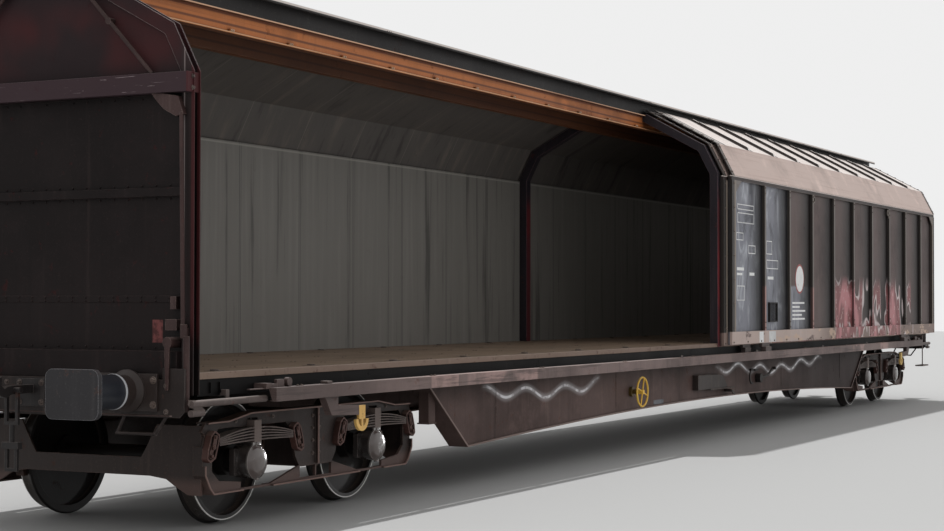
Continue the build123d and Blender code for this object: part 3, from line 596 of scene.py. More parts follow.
beam_face = height.between(BEAM_LOW, BEAM_HIGH, 0.003) * out.ramp(10.900, 10.915)
end_paint.cover(tone(68, 52, 57), beam_face * 0.8)
left_end = place.part("X").fall(-10.82, -10.80)
patch = place.part("Y").between(-1.055, -0.965) * height.between(1.375, 1.535) * left_end
end_paint.cover(tone(150, 88, 86), patch * (0.25 + place.noise(20.0, 3.0).ramp(0.4, 0.6) * 0.4))
scratches = place.stretched(1.0, 1.4, 30.0).noise(2.4, 3.0, 0.7, 0.6).ramp(0.66, 0.70)
end_paint.cover(tone(168, 154, 156), scratches * beam_face * 0.8)
post_front = out.past(POST_FRONT, 0.002) * from_middle.past(POST_INNER, 0.005) * (1.0 - beam_face)
end_paint.cover(tone(52, 42, 42), post_front * 0.45)
end_paint.cover(tone(170, 156, 154), post_front * from_middle.between(1.264, 1.274, 0.003) * 0.5)
end_paint.cover(tone(206, 196, 194), end_paint.edge * gable * 0.8)
end_paint.cover(tone(84, 36, 38), from_middle.past(1.327, 0.005) * height.ramp(1.3, 1.5) * 0.6)
inside = (end_paint.normal.part("X") * place.part("X")).fall(-0.5, -0.1)
end_paint.cover(tone(92, 89, 86), inside * 0.85)
dress(end_paint, "end_wall_a", "end_wall_b")
plates("end_seam_straps", "carbody", end_paint,
       [(mirrored(end, SHEET_FACE, SHEET_FACE + STRAP), (-1.285, 1.285), (1.655 + RAIL_TOP, 1.705 + RAIL_TOP))
        for end in SIDES])
# Height of each row of rivets, and how far its heads stand off the sheet
rivet_rows = ((1.668, STRAP), (1.692, STRAP), (2.385, 0.0), (2.479, 0.0), (1.34, 0.0), (3.095, 0.0))
bolts("end_wall_rivets", "carbody", end_paint,
      [((end * (SHEET_FACE + lift), y, RAIL_TOP + z), (end, 0, 0))
       for end in SIDES for z, lift in rivet_rows for y in steps(-1.24, 1.24, 21)], 0.008, rivet=True)
bolts("end_beam_bolts", "carbody", bolt_steel,
      [((end * 10.912, side * 1.340, RAIL_TOP + z), (0, side, 0))
       for end in SIDES for side in SIDES for z in (3.15, 3.23)], 0.012)

# Middle hoop: a box of bent plate from sill to ridge, blue-grey outside and primer red on its edges,
# where the walls have rubbed it.
hoop_paint = weathered("hoop_paint", tone(42, 37, 43), tone(104, 94, 94), tone(96, 48, 46), streaks=0.3)
place = hoop_paint.place
side_face = hoop_paint.normal.part("X").size().fall(0.5, 0.8)
low_half = place.part("Z").fall(2.75, 3.15)
red = side_face * low_half * (0.4 + place.noise(2.0, 5.0).ramp(0.4, 0.6) * 0.5)
hoop_paint.cover(tone(122, 44, 48), red)
hoop_paint.cover(tone(168, 128, 136), hoop_paint.edge * (0.85 - low_half * 0.3))
dress(hoop_paint, "middle_hoop")

# Ridge beam: folded steel with a flange, a web and a lip, bright with rust where the walls' rollers run.
# A row of small clips, each held by two screws, lies along its lip.
ridge_rust = weathered("ridge_rust", tone(188, 112, 58), tone(212, 164, 120), tone(104, 56, 34),
                       rubbed=0.8, streaks=0.15, rusty=0.55, ledges=0.2, recess_shade=0.75)
place = ridge_rust.place
from_middle, height = place.part("Y").size(), place.part("Z") - RAIL_TOP
# Painted shadows on the web and under the flange, and painted highlights along the edges of the lip and the
# flange
web_shadow, flange_shadow = height.between(3.902, 3.922, 0.006), height.between(3.985, 4.007, 0.006)
lip_highlight = height.between(3.846, 3.856, 0.003) * from_middle.ramp(0.37, 0.38)
flange_highlight = height.past(4.007) * from_middle.ramp(0.385, 0.396)
ridge_rust.cover(tone(82, 42, 26), web_shadow * 0.8)
ridge_rust.cover(tone(232, 190, 150), lip_highlight)
ridge_rust.cover(tone(88, 44, 28), flange_shadow * 0.85)
ridge_rust.cover(tone(222, 178, 146), flange_highlight)
lengthwise = place.stretched(0.25, 8.0, 30.0).noise(1.0, 5.0, 0.65)
ridge_rust.cover(tone(118, 66, 40), lengthwise.ramp(0.5, 0.66) * 0.6)
# Painted shade on the faces turned downward
down_facing_shade = ridge_rust.normal.part("Z").fall(-0.9, -0.5)
ridge_rust.cover(tone(66, 42, 32), down_facing_shade * 0.75)
inner_side = (ridge_rust.normal.part("Y") * place.part("Y")).fall(-0.3, -0.05)
ridge_rust.cover(tone(60, 42, 36), inner_side * 0.85)
dress(ridge_rust, "ridge_beam")
FIRST_CLIP, CLIP_PITCH, CLIP_FACE = -9.067, 0.875, 0.390
clip_places = [FIRST_CLIP + CLIP_PITCH * k for k in range(22)]
plates("ridge_clips", "carbody", ridge_rust,
       [((x - 0.03, x + 0.03), mirrored(side, 0.360, CLIP_FACE), (3.852 + RAIL_TOP, 3.874 + RAIL_TOP))
        for x in clip_places for side in SIDES])
clip_steel = weathered("clip_steel", tone(196, 164, 140), tone(220, 196, 176), tone(120, 80, 56), rubbed=0.8)
bolts("ridge_clip_bolts", "carbody", clip_steel,
      [((x + shift, side * CLIP_FACE, 3.863 + RAIL_TOP), (0, side, 0))
       for x in clip_places for side in SIDES for shift in (-0.014, 0.014)], 0.006)

# Ridge cap: a long cover of folded sheet over the beam, in lengths joined by riveted straps, dark with soot,
# with a painted highlight along the top edge of each side.
CAP_TOP, CAP_EDGE = 4.200 + RAIL_TOP, 0.440
cap_paint = weathered("cap_paint", tone(26, 22, 22), tone(116, 108, 104), tone(60, 40, 34), rubbed=0.5,
                      streaks=0.1, ledges=0.9)
place = cap_paint.place
# Painted highlight along the top edge of each side of the cap
edge_highlight = place.part("Y").size().past(CAP_EDGE - 0.013) * place.part("Z").past(CAP_TOP - 0.019)
cap_paint.cover(tone(232, 222, 216), edge_highlight * 0.95)
dress(cap_paint, "ridge_cap")
bolts("cap_rivets", "carbody", bolt_steel,
      [((x + shift, side * CAP_EDGE, CAP_TOP - 0.018), (0, side, 0))
       for x in steps(-8.8, 8.8, 9) for side in SIDES for shift in (-0.035, 0.0, 0.035)], 0.006, rivet=True)

# Sliding walls: sheet steel on a frame of pressed posts, eave beam and bottom rail. The first panels carry
# a slate ground for markings, the rest is brown, rubbed by washing brushes, and painted shade darkens each
# panel.
WALL_LENGTH, WALL_END = 10.98, 10.990
END_POST, HALF_POST, SEAL, SEAL_LINE = 0.15, 0.04, 0.092, 0.045
FIRST_POST, POST_PITCH = 1.33, 1.0825
POSTS = [FIRST_POST + k * POST_PITCH for k in range(9)]
POST_FACE, RAIL_EDGE, EAVE_UNDER = 1.376, 1.290, 3.183
# How far the near left wall has been slid along, out and up, to lie over its neighbour
SLID_ALONG, SLID_OUT, SLID_UP = 11.140, 0.060, 0.012


class Wall:
    """One sliding wall with its roof, measured from its first end, out from the middle and up."""

    def __init__(self, name, start, way, out=0.0, lift=0.0, marked=False):
        self.name, self.marked = name, marked
        self.start, self.way, self.out, self.lift = start, way, out, lift
        self.side = 1 if "far" in name else -1

    def at(self, along, y, z):
        """A place of the wall in the wagon's frame."""
        return (self.start + self.way * along, self.side * (y + self.out), z + self.lift + RAIL_TOP)

    def block(self, along, y, z):
        """The three spans of a block, from how far along, out and up it starts and ends."""
        ends = zip(self.at(along[0], y[0], z[0]), self.at(along[1], y[1], z[1]))
        return tuple(tuple(sorted(pair)) for pair in ends)


WALLS = (Wall("wall_far_right", WALL_END, -1, marked=True), Wall("wall_far_left", -WALL_END, 1),
         Wall("wall_near_right", WALL_END, -1),
         Wall("wall_near_slid", -WALL_END + SLID_ALONG, 1, SLID_OUT, SLID_UP, marked=True))


def washed(finish, along, height):
    """Patches low on a wall that washing brushes have rubbed down to red primer and bare metal."""
    place = finish.place
    scrubbed = along.between(4.62, 9.4, 0.02) * height.short_of(1.95, 0.15)
    shapes = place.stretched(1.0, 1.0, 0.42).noise(2.1, 2.0, 0.45, 0.3) + scrubbed * 0.055
    primer = scrubbed * shapes.ramp(0.53, 0.56)
    finish.cover(tone(146, 92, 93), primer * 0.85)
    finish.cover(tone(204, 140, 144), scrubbed * shapes.ramp(0.60, 0.66) * 0.8)
    finish.cover(tone(226, 212, 212), scrubbed * shapes.between(0.530, 0.550, 0.006) * 0.85)
    finish.cover(tone(208, 184, 182), primer * place.noise(14.0, 3.0).ramp(0.6, 0.66) * 0.7)


def lining(finish, height, off_post):
    """Grey inner face of a wall, streaked by damp, with the line of each post and of the eave."""
    place = finish.place
    inner = (finish.normal.part("Y") * place.part("Y")).fall(-0.6, -0.2)
    finish.cover(tone(124, 121, 116), inner)
    damp = place.stretched(9.0, 1.0, 0.35).noise(1.0, 5.0, 0.65)
    finish.cover(tone(138, 135, 130), inner * damp.ramp(0.5, 0.75) * 0.6)
    finish.cover(tone(66, 64, 62), inner * damp.fall(0.3, 0.45) * 0.7)
    finish.cover(tone(150, 148, 142), inner * off_post.between(0.0, 0.005, 0.002) * 0.55)
    finish.cover(tone(62, 60, 58), inner * off_post.between(0.006, 0.016, 0.003) * 0.8)
    finish.cover(tone(160, 158, 150), inner * height.between(3.205, 3.222, 0.004) * 0.7)


def wall_finish(wall):
    """Brown paint of a wall's side, with its markings' ground, painted shade and highlight, paler posts,
    rubber seals and rail.
    """
    finish = weathered(wall.name + "_paint", tone(88, 70, 67), tone(132, 114, 107), tone(104, 68, 58),
                       streaks=0.35, rusty=0.18, dents=0.6, rubbed=0.7, recess_shade=0.35)
    place = finish.place
    along = (place.part("X") - wall.start) * wall.way
    height = place.part("Z") - (RAIL_TOP + wall.lift)
    proud = (place.part("Y").size() - wall.out).past(POST_FACE, 0.004)
    posts = proud * height.between(RAIL_EDGE, EAVE_UNDER + 0.002, 0.003)
    if wall.marked:
        brushed = place.stretched(1.5, 1.0, 0.55).noise(2.2, 5.0, 0.65, 1.4)
        tall, low = along.between(0.0, 2.412, 0.006), along.between(0.0, 3.48, 0.006)
        slate = tall.most(low * height.short_of(1.88, 0.02)) * height.short_of(EAVE_UNDER)
        finish.cover(tone(138, 140, 150), slate * 0.94)
        finish.cover(tone(204, 207, 215), slate * brushed.ramp(0.50, 0.68) * 0.75)
        finish.cover(tone(58, 60, 68), slate * brushed.fall(0.30, 0.46) * 0.7)
    # Painted shade thickens across each panel towards the post on its +X side
    share = place.maths("FRACT", (along - FIRST_POST) * (1.0 / POST_PITCH))
    panel_shade = share.ramp(0.30, 0.95) if wall.way > 0 else share.fall(0.05, 0.70)
    finish.cover(tone(15, 12, 12), panel_shade * along.ramp(0.3, 0.5) * 0.93)
    finish.cover(tone(122, 113, 107), posts * (0.75 + place.noise(3.0, 4.0) * 0.25))
    if wall.marked:
        first, third = (along.between(POSTS[k] - HALF_POST, POSTS[k] + HALF_POST) for k in (0, 2))
        pink = first.most(third) * height.between(RAIL_EDGE, 1.87, 0.02)
        finish.cover(tone(176, 132, 126), posts * pink * 0.85)
    end_posts = along.between(-0.01, END_POST + 0.01).most(along.past(WALL_LENGTH - END_POST - 0.005, 0.005))
    finish.cover(tone(146, 134, 122), posts * end_posts * 0.75)
    seal = along.between(-0.02, SEAL, 0.003).most(along.past(WALL_LENGTH - SEAL))
    finish.cover(tone(22, 19, 19), seal * height.past(RAIL_EDGE, 0.01) * 0.92)
    seal_line = along.every(WALL_LENGTH, SEAL_LINE)
    finish.cover(tone(128, 118, 112), seal * seal_line.ramp(0.003, 0.006, 0.5, 0.0))
    # Painted shadow on the eave's lower face, under the chamfer, and a painted highlight along its top
    finish.cover(tone(52, 42, 40), proud * height.past(EAVE_UNDER) * 0.9)
    finish.cover(tone(250, 236, 229), proud * height.ramp(3.222, 3.227) * 0.9)
    rail = proud * height.fall(RAIL_EDGE, RAIL_EDGE + 0.003)
    finish.cover(tone(204, 182, 172), rail * (0.7 + place.noise(2.0, 4.0) * 0.3))
    patches = place.stretched(1.0, 1.0, 2.5).noise(2.4, 5.0, 0.6)
    finish.cover(tone(112, 92, 84), rail * along.ramp(3.3, 4.6) * 0.75)
    finish.cover(tone(206, 178, 156), rail * patches.ramp(0.58, 0.63) * 0.8)
    finish.cover(tone(96, 76, 70), rail * patches.fall(0.36, 0.42) * 0.8)
    washed(finish, along, height)
    # Painted shade on the faces of the posts that turn along the wagon
    flank_shade = finish.normal.part("X").size().ramp(0.6, 0.9) * along.between(0.02, WALL_LENGTH - 0.02)
    finish.cover(tone(26, 22, 21), proud * flank_shade * 0.8)
    lining(finish, height, along.every(POST_PITCH, FIRST_POST))
    return finish


def roof_finish(wall):
    """Pale paint of a wall's roof as painted sunlight, with rain lines, painted shadows beside each rib,
    painted shade on faces turned along the wagon and dark seals.
    """
    # Pale paint standing in for sunlight on the whole roof
    finish = weathered(wall.name + "_paint", tone(207, 185, 176), tone(224, 208, 200), tone(150, 118, 104),
                       streaks=0.0, rusty=0.10, ledges=0.25, rubbed=0.5, recess_shade=0.0, dents=0.25)
    place = finish.place
    along = (place.part("X") - wall.start) * wall.way
    flat = finish.normal.part("Z")
    slope = flat.ramp(0.62, 0.75)
    chamfer = flat.ramp(0.30, 0.40) * (1.0 - slope)
    # Painted sunlight: the slopes paler than the chamfer
    finish.cover(tone(230, 220, 214), slope * 0.8)
    lines = place.stretched(0.5, 12.0, 40.0).noise(1.0, 5.0, 0.7)
    finish.cover(tone(180, 154, 143), chamfer * lines.ramp(0.50, 0.68) * 0.5)
    rain = place.stretched(16.0, 1.0, 1.0).noise(1.0, 5.0, 0.65)
    finish.cover(tone(158, 140, 132), slope * rain.ramp(0.52, 0.68) * 0.55)
    off_post = along.every(POST_PITCH, FIRST_POST)
    # Painted shadow of each rib on the slope, on both sides of it
    finish.cover(tone(18, 15, 14), slope * off_post.between(0.028, 0.140, 0.004) * 0.95)
    seals = along.between(-0.01, 0.095).most(along.between(WALL_LENGTH - 0.095, WALL_LENGTH + 0.01))
    finish.cover(tone(24, 21, 21), seals * 0.92)
    seal_line = along.every(WALL_LENGTH, SEAL_LINE)
    finish.cover(tone(196, 184, 176), seals * seal_line.ramp(0.004, 0.007, 0.8, 0.0))
    # Painted shade on faces turned along the wagon
    finish.cover(tone(46, 38, 36), finish.normal.part("X").size().ramp(0.5, 0.8) * 0.9)
    inner = flat.fall(-0.2, -0.1)
    finish.cover(tone(92, 88, 85), inner)
    damp = place.stretched(5.0, 1.0, 1.0).noise(1.0, 5.0, 0.65)
    finish.cover(tone(122, 112, 104), inner * damp.ramp(0.5, 0.75) * 0.6)
    finish.cover(tone(54, 50, 49), inner * damp.fall(0.3, 0.45) * 0.7)
    finish.cover(tone(142, 136, 128), inner * off_post.between(0.0, 0.005, 0.002) * 0.5)
    finish.roughness = finish.roughness - slope * 0.12
    return finish


for wall in WALLS:
    dress(wall_finish(wall), wall.name + "_side")
    dress(roof_finish(wall), wall.name + "_roof")

# Bolts of the walls: small hexagon heads of plain steel, where the roof's strips, the posts and the bottom
# rail are screwed to the frame.
EAVE, CHAMFER_TOP, RIDGE_EDGE = (1.406, 3.235), (1.198, 3.640), (0.370, 4.090)
# The two slopes of a roof and the share of the way up at which each bolt of a strip stands
SLOPES = ((EAVE, CHAMFER_TOP, (0.12, 0.5, 0.88)), (CHAMFER_TOP, RIDGE_EDGE, steps(0.08, 0.9, 6)))
STRIP_DEPTH, RAIL_FACE = 0.004, 1.406


def wall_bolts(wall):
    """Places of one wall's bolts, each with the way that it faces."""
    spots = []
    for low, high, shares in SLOPES:
        run, rise = low[0] - high[0], high[1] - low[1]
        length = math.hypot(run, rise)
        out_y, out_z = rise / length, run / length
        for share in shares:
            y = low[0] - share * run + STRIP_DEPTH * out_y
            z = low[1] + share * rise + STRIP_DEPTH * out_z
            spots += [(wall.at(along, y, z), (0, wall.side * out_y, out_z))
                      for along in (0.03, 0.075, WALL_LENGTH - 0.075, WALL_LENGTH - 0.03)]
    upright = [(along, z) for along in POSTS for z in (1.33, 1.40, 3.08, 3.15)]
    upright += [(along, 1.160) for along in steps(0.06, WALL_LENGTH - 0.06, 21)]
    upright += [(along, z) for along in (0.075, WALL_LENGTH - 0.075) for z in steps(1.34, 3.14, 7)]
    return spots + [(wall.at(along, RAIL_FACE, z), (0, wall.side, 0)) for along, z in upright]


wall_steel = weathered("wall_steel", tone(98, 84, 78), tone(160, 146, 136), tone(104, 66, 50), rubbed=0.9)
bolts("wall_bolts", "carbody", wall_steel,
      [spot for wall in WALLS for spot in wall_bolts(wall)], 0.008)

# Lugs, grated box and markings of the walls: lifting lugs of cut plate under the eave, a label box with
# bars, blank frames and patches of white paint, and a blank round sign with a red rim.
SHEET_Y, MARK = 1.361, 0.0012
# Each bar, frame or patch: how far along and how high it starts and ends
FRAMES = ((0.33, 0.98, 2.66, 2.90), (0.33, 0.98, 2.78, 2.84), (0.29, 0.56, 2.44, 2.54),
          (0.76, 1.04, 2.28, 2.39), (0.31, 0.61, 1.68, 1.87), (1.50, 1.74, 2.29, 2.47),
          (1.50, 2.00, 2.10, 2.22))
PATCHES = ((0.31, 0.58, 2.06, 2.10), (0.31, 0.52, 2.00, 2.03), (0.80, 1.00, 2.00, 2.04),
           (1.55, 1.80, 1.96, 2.00), (2.64, 3.20, 1.64, 1.665), (2.64, 2.98, 1.585, 1.610),
           (2.64, 3.24, 1.53, 1.555), (2.64, 3.08, 1.475, 1.50), (2.64, 3.22, 1.42, 1.445))
RAIL_PATCHES = ((1.07, 1.24, 1.140, 1.282), (1.47, 1.76, 1.140, 1.282))
BOX = (1.56, 1.90, 1.40, 1.66)
BOX_RIM, BOX_DEPTH = 0.015, 0.03
LUG_OUTLINE = ((0.026, 3.18), (0.026, 3.035), (0.044, 3.025), (0.052, 3.09), (0.050, 3.18))


def cut_plates(name, body, finish, outlines, rounding=0.0012):
    """Plates cut to outlines of points, each made thick by a push along one way."""
    shape = bmesh.new()
    for points, push in outlines:
        flat = shape.faces.new([shape.verts.new(point) for point in points])
        for item in bmesh.ops.extrude_face_region(shape, geom=[flat])["geom"]:
            if isinstance(item, bmesh.types.BMVert):
                item.co += Vector(push)
    bmesh.ops.recalc_face_normals(shape, faces=shape.faces)
    rims = [edge for edge in shape.edges if edge.calc_face_angle(0.0) > 1.0]
    bmesh.ops.bevel(shape, geom=rims, offset=rounding, segments=1, affect="EDGES")
    return finished(name, shape, body, finish)


def disc(centre, radius, count=24):
    """Points round a circle that faces the side."""
    x, y, z = centre
    turns = [2 * math.pi * k / count for k in range(count)]
    return [(x + radius * math.cos(turn), y, z + radius * math.sin(turn)) for turn in turns]


def frame_bars(a0, a1, z0, z1, width):
    """The foot, head and two sides of an upright frame."""
    low, high = z0 + width, z1 - width
    return [(a0, a1, z0, low), (a0, a1, high, z1), (a0, a0 + width, low, high), (a1 - width, a1, low, high)]


marked_walls = [wall for wall in WALLS if wall.marked]


def on_walls(marks, inner_face, outer_face):
    """Blocks on every marked wall between two distances out from the middle."""
    return [wall.block((a0, a1), (inner_face, outer_face), (z0, z1))
            for wall in marked_walls for a0, a1, z0, z1 in marks]


marking_white = weathered("marking_white", tone(250, 250, 250), tone(206, 202, 200), tone(150, 138, 132),
                          streaks=0.2, recess_shade=0.1)
box_black = weathered("box_black", tone(26, 24, 25), tone(112, 102, 98), tone(84, 56, 44), rubbed=0.5)
marking_red = weathered("marking_red", tone(176, 92, 90), tone(150, 146, 144), tone(120, 104, 98))
painted = [bar for frame in FRAMES for bar in frame_bars(*frame, 0.012)] + list(PATCHES)
plates("wall_frames", "carbody", marking_white, on_walls(painted, SHEET_Y, SHEET_Y + MARK), 0.0003)
plates("wall_patches", "carbody", marking_white,
       on_walls(RAIL_PATCHES, RAIL_FACE, RAIL_FACE + MARK), 0.0003)
box_rim = on_walls(frame_bars(*BOX, BOX_RIM), SHEET_Y, SHEET_Y + BOX_DEPTH)
box_bars = on_walls([(a - 0.003, a + 0.003, BOX[2] + BOX_RIM, BOX[3] - BOX_RIM)
                     for a in steps(1.595, 1.865, 10)], SHEET_Y + 0.012, SHEET_Y + 0.018)
plates("label_boxes", "carbody", box_black, box_rim + box_bars)
for name, finish, radius, depth in (("round_signs", marking_white, 0.180, 0.003),
                                    ("round_sign_rims", marking_red, 0.205, 0.0015)):
    cut_plates(name, "carbody", finish,
               [(disc(wall.at(2.98, SHEET_Y, 1.985), radius), (0, wall.side * depth, 0))
                for wall in marked_walls], 0.0003)
lug_steel = weathered("lug_steel", tone(134, 126, 119), tone(180, 168, 160), tone(104, 70, 56), rubbed=0.8)
# Each lug's wall, post and side of the post
lug_places = [(wall, POSTS[k], way) for wall in WALLS for k, way in ((2, 1), (6, -1))]
cut_plates("wall_lugs", "carbody", lug_steel,
           [([wall.at(post + way * a, SHEET_Y + 0.03, z) for a, z in LUG_OUTLINE], (0, wall.side * 0.012, 0))
            for wall, post, way in lug_places])
rings("wall_lug_eyes", "carbody", lug_steel,
      [wall.at(post + way * 0.082, SHEET_Y + 0.032, 3.112) for wall, post, way in lug_places],
      0.040, 0.010, STANDING)

# Roof ribs: folded sheet strips down the slope of each roof, one at every post, pale on top as painted
# sunlight and with painted shade on their flanks. The wall that the slid one covers carries none.
RIB_OUTLINE = ((1.188, 3.6454), (1.166, 3.692), (0.500, 4.054), (0.500, 4.0195))
RIB_WIDTH = 0.056
# Pale paint standing in for sunlight on the ribs' tops
rib_paint = weathered("rib_paint", tone(236, 230, 226), tone(206, 196, 190), tone(150, 118, 104),
                      streaks=0.0, rusty=0.1)
# Painted shade on the ribs' flanks
rib_paint.cover(tone(20, 17, 16), rib_paint.normal.part("X").size().ramp(0.5, 0.8) * 0.95)
cut_plates("roof_ribs", "carbody", rib_paint,
           [([wall.at(post - RIB_WIDTH / 2, y, z) for y, z in RIB_OUTLINE], (wall.way * RIB_WIDTH, 0, 0))
            for wall in WALLS if wall.name != "wall_near_right" for post in POSTS])

# Guide rails and lift shafts of the walls: rolled channel and round shaft on arms from the sill. The
# channel is bare where rollers run and has patches of pale primer near its ends.
CHANNEL_TOP = 1.035 + RAIL_TOP
rail_paint = weathered("rail_paint", tone(124, 105, 101), tone(166, 148, 140), tone(110, 72, 60),
                       streaks=0.35, rusty=0.45, rubbed=0.9, recess_shade=0.6)
place = rail_paint.place
along = place.part("X").size()
broken = along.between(5.6, 7.05, 0.03) * place.noise(1.5, 3.0).ramp(0.46, 0.50)
primer = along.between(7.22, 7.72, 0.01).most(broken)
rail_paint.cover(tone(176, 146, 140), primer * (0.35 + place.noise(5.0, 5.0).ramp(0.4, 0.6) * 0.5))
stains = place.stretched(0.3, 1.0, 6.0).noise(3.0, 5.0, 0.7).ramp(0.52, 0.64)
rail_paint.cover(tone(60, 48, 46), stains * 0.55)
rail_paint.cover(tone(58, 47, 45), along.ramp(7.8, 9.4) * 0.6)
dress(rail_paint, "guide_rail_far", "guide_rail_near", "corner_steps", "rope_hook_arms")
gear_paint = weathered("gear_paint", tone(92, 80, 77), tone(152, 138, 130), tone(104, 66, 52),
                       streaks=0.3, rusty=0.5, rubbed=0.9)
turned_piece(gear_paint, "lift_shaft_far", "lift_shaft_near")
lever_paint = weathered("lever_paint", tone(66, 46, 44), tone(140, 122, 116), tone(96, 56, 48), rubbed=0.9)
turned_piece(lever_paint, "wall_levers_a", "wall_levers_b")
dress(gear_paint, "carriages_far", "carriages_near")
changeover_paint = weathered("changeover_paint", tone(60, 51, 48), tone(140, 124, 114), tone(100, 64, 50),
                             rubbed=0.9)
levers = changeover_paint.place.part("X").size().ramp(1.2, 1.3)
changeover_paint.cover(tone(24, 21, 21), levers * 0.7)
dress(changeover_paint, "changeovers")
bolts("guide_rail_bolts", "carbody", wall_steel,
      [((end * x + shift, side * 1.450, CHANNEL_TOP), (0, 0, 1)) for end in SIDES
       for x in (1.2, 3.3, 5.4, 7.6, 9.7) for side in SIDES for shift in (-0.028, 0.028)], 0.010)
latch_places = (-9.3, -1.7, 1.02, 4.0, 6.4, 9.3)
plates("rail_latches", "carbody", gear_paint,
       [((x - 0.035, x + 0.035), mirrored(side, 1.402, 1.470), (CHANNEL_TOP, CHANNEL_TOP + 0.021))
        for x in latch_places for side in (SIDES if abs(x) > 9 else (1,))] +
       [((x - 0.03, x + 0.03), (-1.500, -1.494), (CHANNEL_TOP, CHANNEL_TOP + 0.027))
        for x in latch_places[1:5]])

# Rope hooks and handwheels: cast iron painted signal yellow, chipped to primer and brown. The hooks stand
# on arms from the sill, and the wheels' spindles are black.
hook_yellow = weathered("hook_yellow", tone(236, 190, 110), tone(226, 200, 156), tone(132, 88, 52),
                        rubbed=0.3, streaks=0.2, rusty=0.4, recess_shade=0.4, roughness=0.5)
wheel_yellow = weathered("wheel_yellow", tone(255, 204, 84), tone(240, 206, 130), tone(150, 100, 50),
                         rubbed=0.3, streaks=0.1, rusty=0.2, recess_shade=0.2, roughness=0.45)
behind_face = wheel_yellow.place.part("Y").size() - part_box("handwheels")[1].y
wheel_yellow.cover(tone(30, 26, 24), behind_face.fall(-0.07, -0.06) * 0.9)
turned_piece(hook_yellow, "rope_hooks")
turned_piece(wheel_yellow, "handwheels")

# Buffers: a turned steel guide, flared to a bolted base, with a greased plunger and a head polished where
# it meets the next wagon's.
buffer_iron = weathered("buffer_iron", tone(40, 38, 41), tone(112, 106, 106), tone(94, 62, 50),
                        streaks=0.2, rusty=0.4, rubbed=0.8, roughness=0.42)
reach = buffer_iron.place.part("X").size()
guide, collar = reach.fall(11.168, 11.173), reach.between(11.173, 11.194, 0.002)
plunger, head = reach.between(11.198, 11.580, 0.003), reach.ramp(11.575, 11.582)
buffer_iron.cover(tone(56, 46, 42), guide * 0.8)
buffer_iron.cover(tone(34, 38, 46), plunger * 0.75)
buffer_iron.cover(tone(206, 208, 212), collar * 0.85)
buffer_iron.cover(tone(186, 186, 190), head * buffer_iron.edge * 0.9)
turned_piece(buffer_iron, "buffers_a", "buffers_b")
bolts("buffer_bolts", "carbody", wall_steel,
      [((end * 11.020, side * 0.875 + y, 1.032 + RAIL_TOP + z), (end, 0, 0))
       for end in SIDES for side in SIDES for y in (-0.22, 0.22) for z in (-0.085, 0.085)], 0.018)

# Draw gear: a forged steel hook with a screw coupling hung from it, black with grease. The plate round the
# hook's stem is bolted to the headstock.
coupling_iron = weathered("coupling_iron", tone(44, 40, 40), tone(112, 102, 98), tone(88, 54, 42),
                          rusty=0.6, rubbed=0.9, roughness=0.45)
turned_piece(coupling_iron, "draw_gear_a", "draw_gear_b")
bolts("draw_gear_bolts", "carbody", bolt_steel,
      [((end * 11.018, y, 1.04 + RAIL_TOP + z), (end, 0, 0))
       for end in SIDES for y in (-0.1, 0.1) for z in (-0.1, 0.04)], 0.016)

# Bogies: frames of welded plate on laminated springs, with a cast axle box at each journal. Brake dust
# makes everything brown, with pale edges, and grease keeps the boxes' covers dark and shiny.
PIVOT_X, AXLE_X = 8.85, 0.90
BOGIES = (("bogie_a", -PIVOT_X), ("bogie_b", PIVOT_X))
COVER_FACE = 1.106
bogie_paint = weathered("bogie_paint", tone(52, 42, 39), tone(128, 106, 98), tone(92, 58, 46),
                        streaks=0.25, rusty=0.4, rubbed=1.0, recess_shade=0.85)
place = bogie_paint.place
low_down = (place.part("Z") - RAIL_TOP).fall(0.31, 0.40)
bogie_paint.cover(tone(104, 82, 76), low_down * 0.6)
bogie_paint.cover(tone(138, 112, 104), place.part("Y").size().past(1.083) * 0.85)
spring_steel = weathered("spring_steel", tone(96, 84, 80), tone(162, 148, 140), tone(104, 66, 52),
                         streaks=0.0, rusty=0.45, rubbed=1.0, recess_shade=0.95, rounding=0.004)
from_buckle = ((spring_steel.place.part("X").size() - PIVOT_X).size() - AXLE_X).size()
spring_steel.cover(tone(118, 104, 98), from_buckle.fall(0.047, 0.050) * 0.8)
box_iron = weathered("box_iron", tone(66, 60, 58), tone(132, 120, 113), tone(88, 62, 52), streaks=0.15,
                     rusty=0.2, rubbed=0.7, recess_shade=0.8, roughness=0.22)
out = box_iron.place.part("Y").size()
box_iron.cover(tone(90, 77, 73), out.past(COVER_FACE, 0.002) * 0.8)
flange = out.between(COVER_FACE - 0.016, COVER_FACE, 0.002)
box_iron.cover(tone(168, 158, 152), flange * (0.3 + box_iron.edge * 0.6))
box_iron.shader.inputs["Coat Weight"].default_value = 1.0
box_iron.shader.inputs["Coat Roughness"].default_value = 0.06
link_rust = weathered("link_rust", tone(88, 60, 54), tone(158, 132, 122), tone(70, 40, 34), streaks=0.0,
                      rusty=0.6, rubbed=0.9, recess_shade=0.9, rounding=0.004)
brake_iron = weathered("brake_iron", tone(70, 52, 46), tone(126, 104, 94), tone(102, 60, 44), rusty=0.8,
                       recess_shade=0.8)
# The pieces that the studio's two upright lamps draw highlights on
polished = bpy.data.collections.new("polished")
for bogie, _ in BOGIES:
    dress(bogie_paint, bogie + "_frame")
    dress(spring_steel, bogie + "_springs")
    dress(brake_iron, bogie + "_brakes")
    turned_piece(link_rust, bogie + "_links")
    boxes = turned_piece(box_iron, bogie + "_axle_boxes")[0]
    if bogie == "bogie_a":
        polished.objects.link(boxes)

# Bolts and welds of a bogie: steel rivets through its frame's columns and end plates, and beads of weld
# along its flanges, painted with the frame.
FRAME_FACE = 1.060
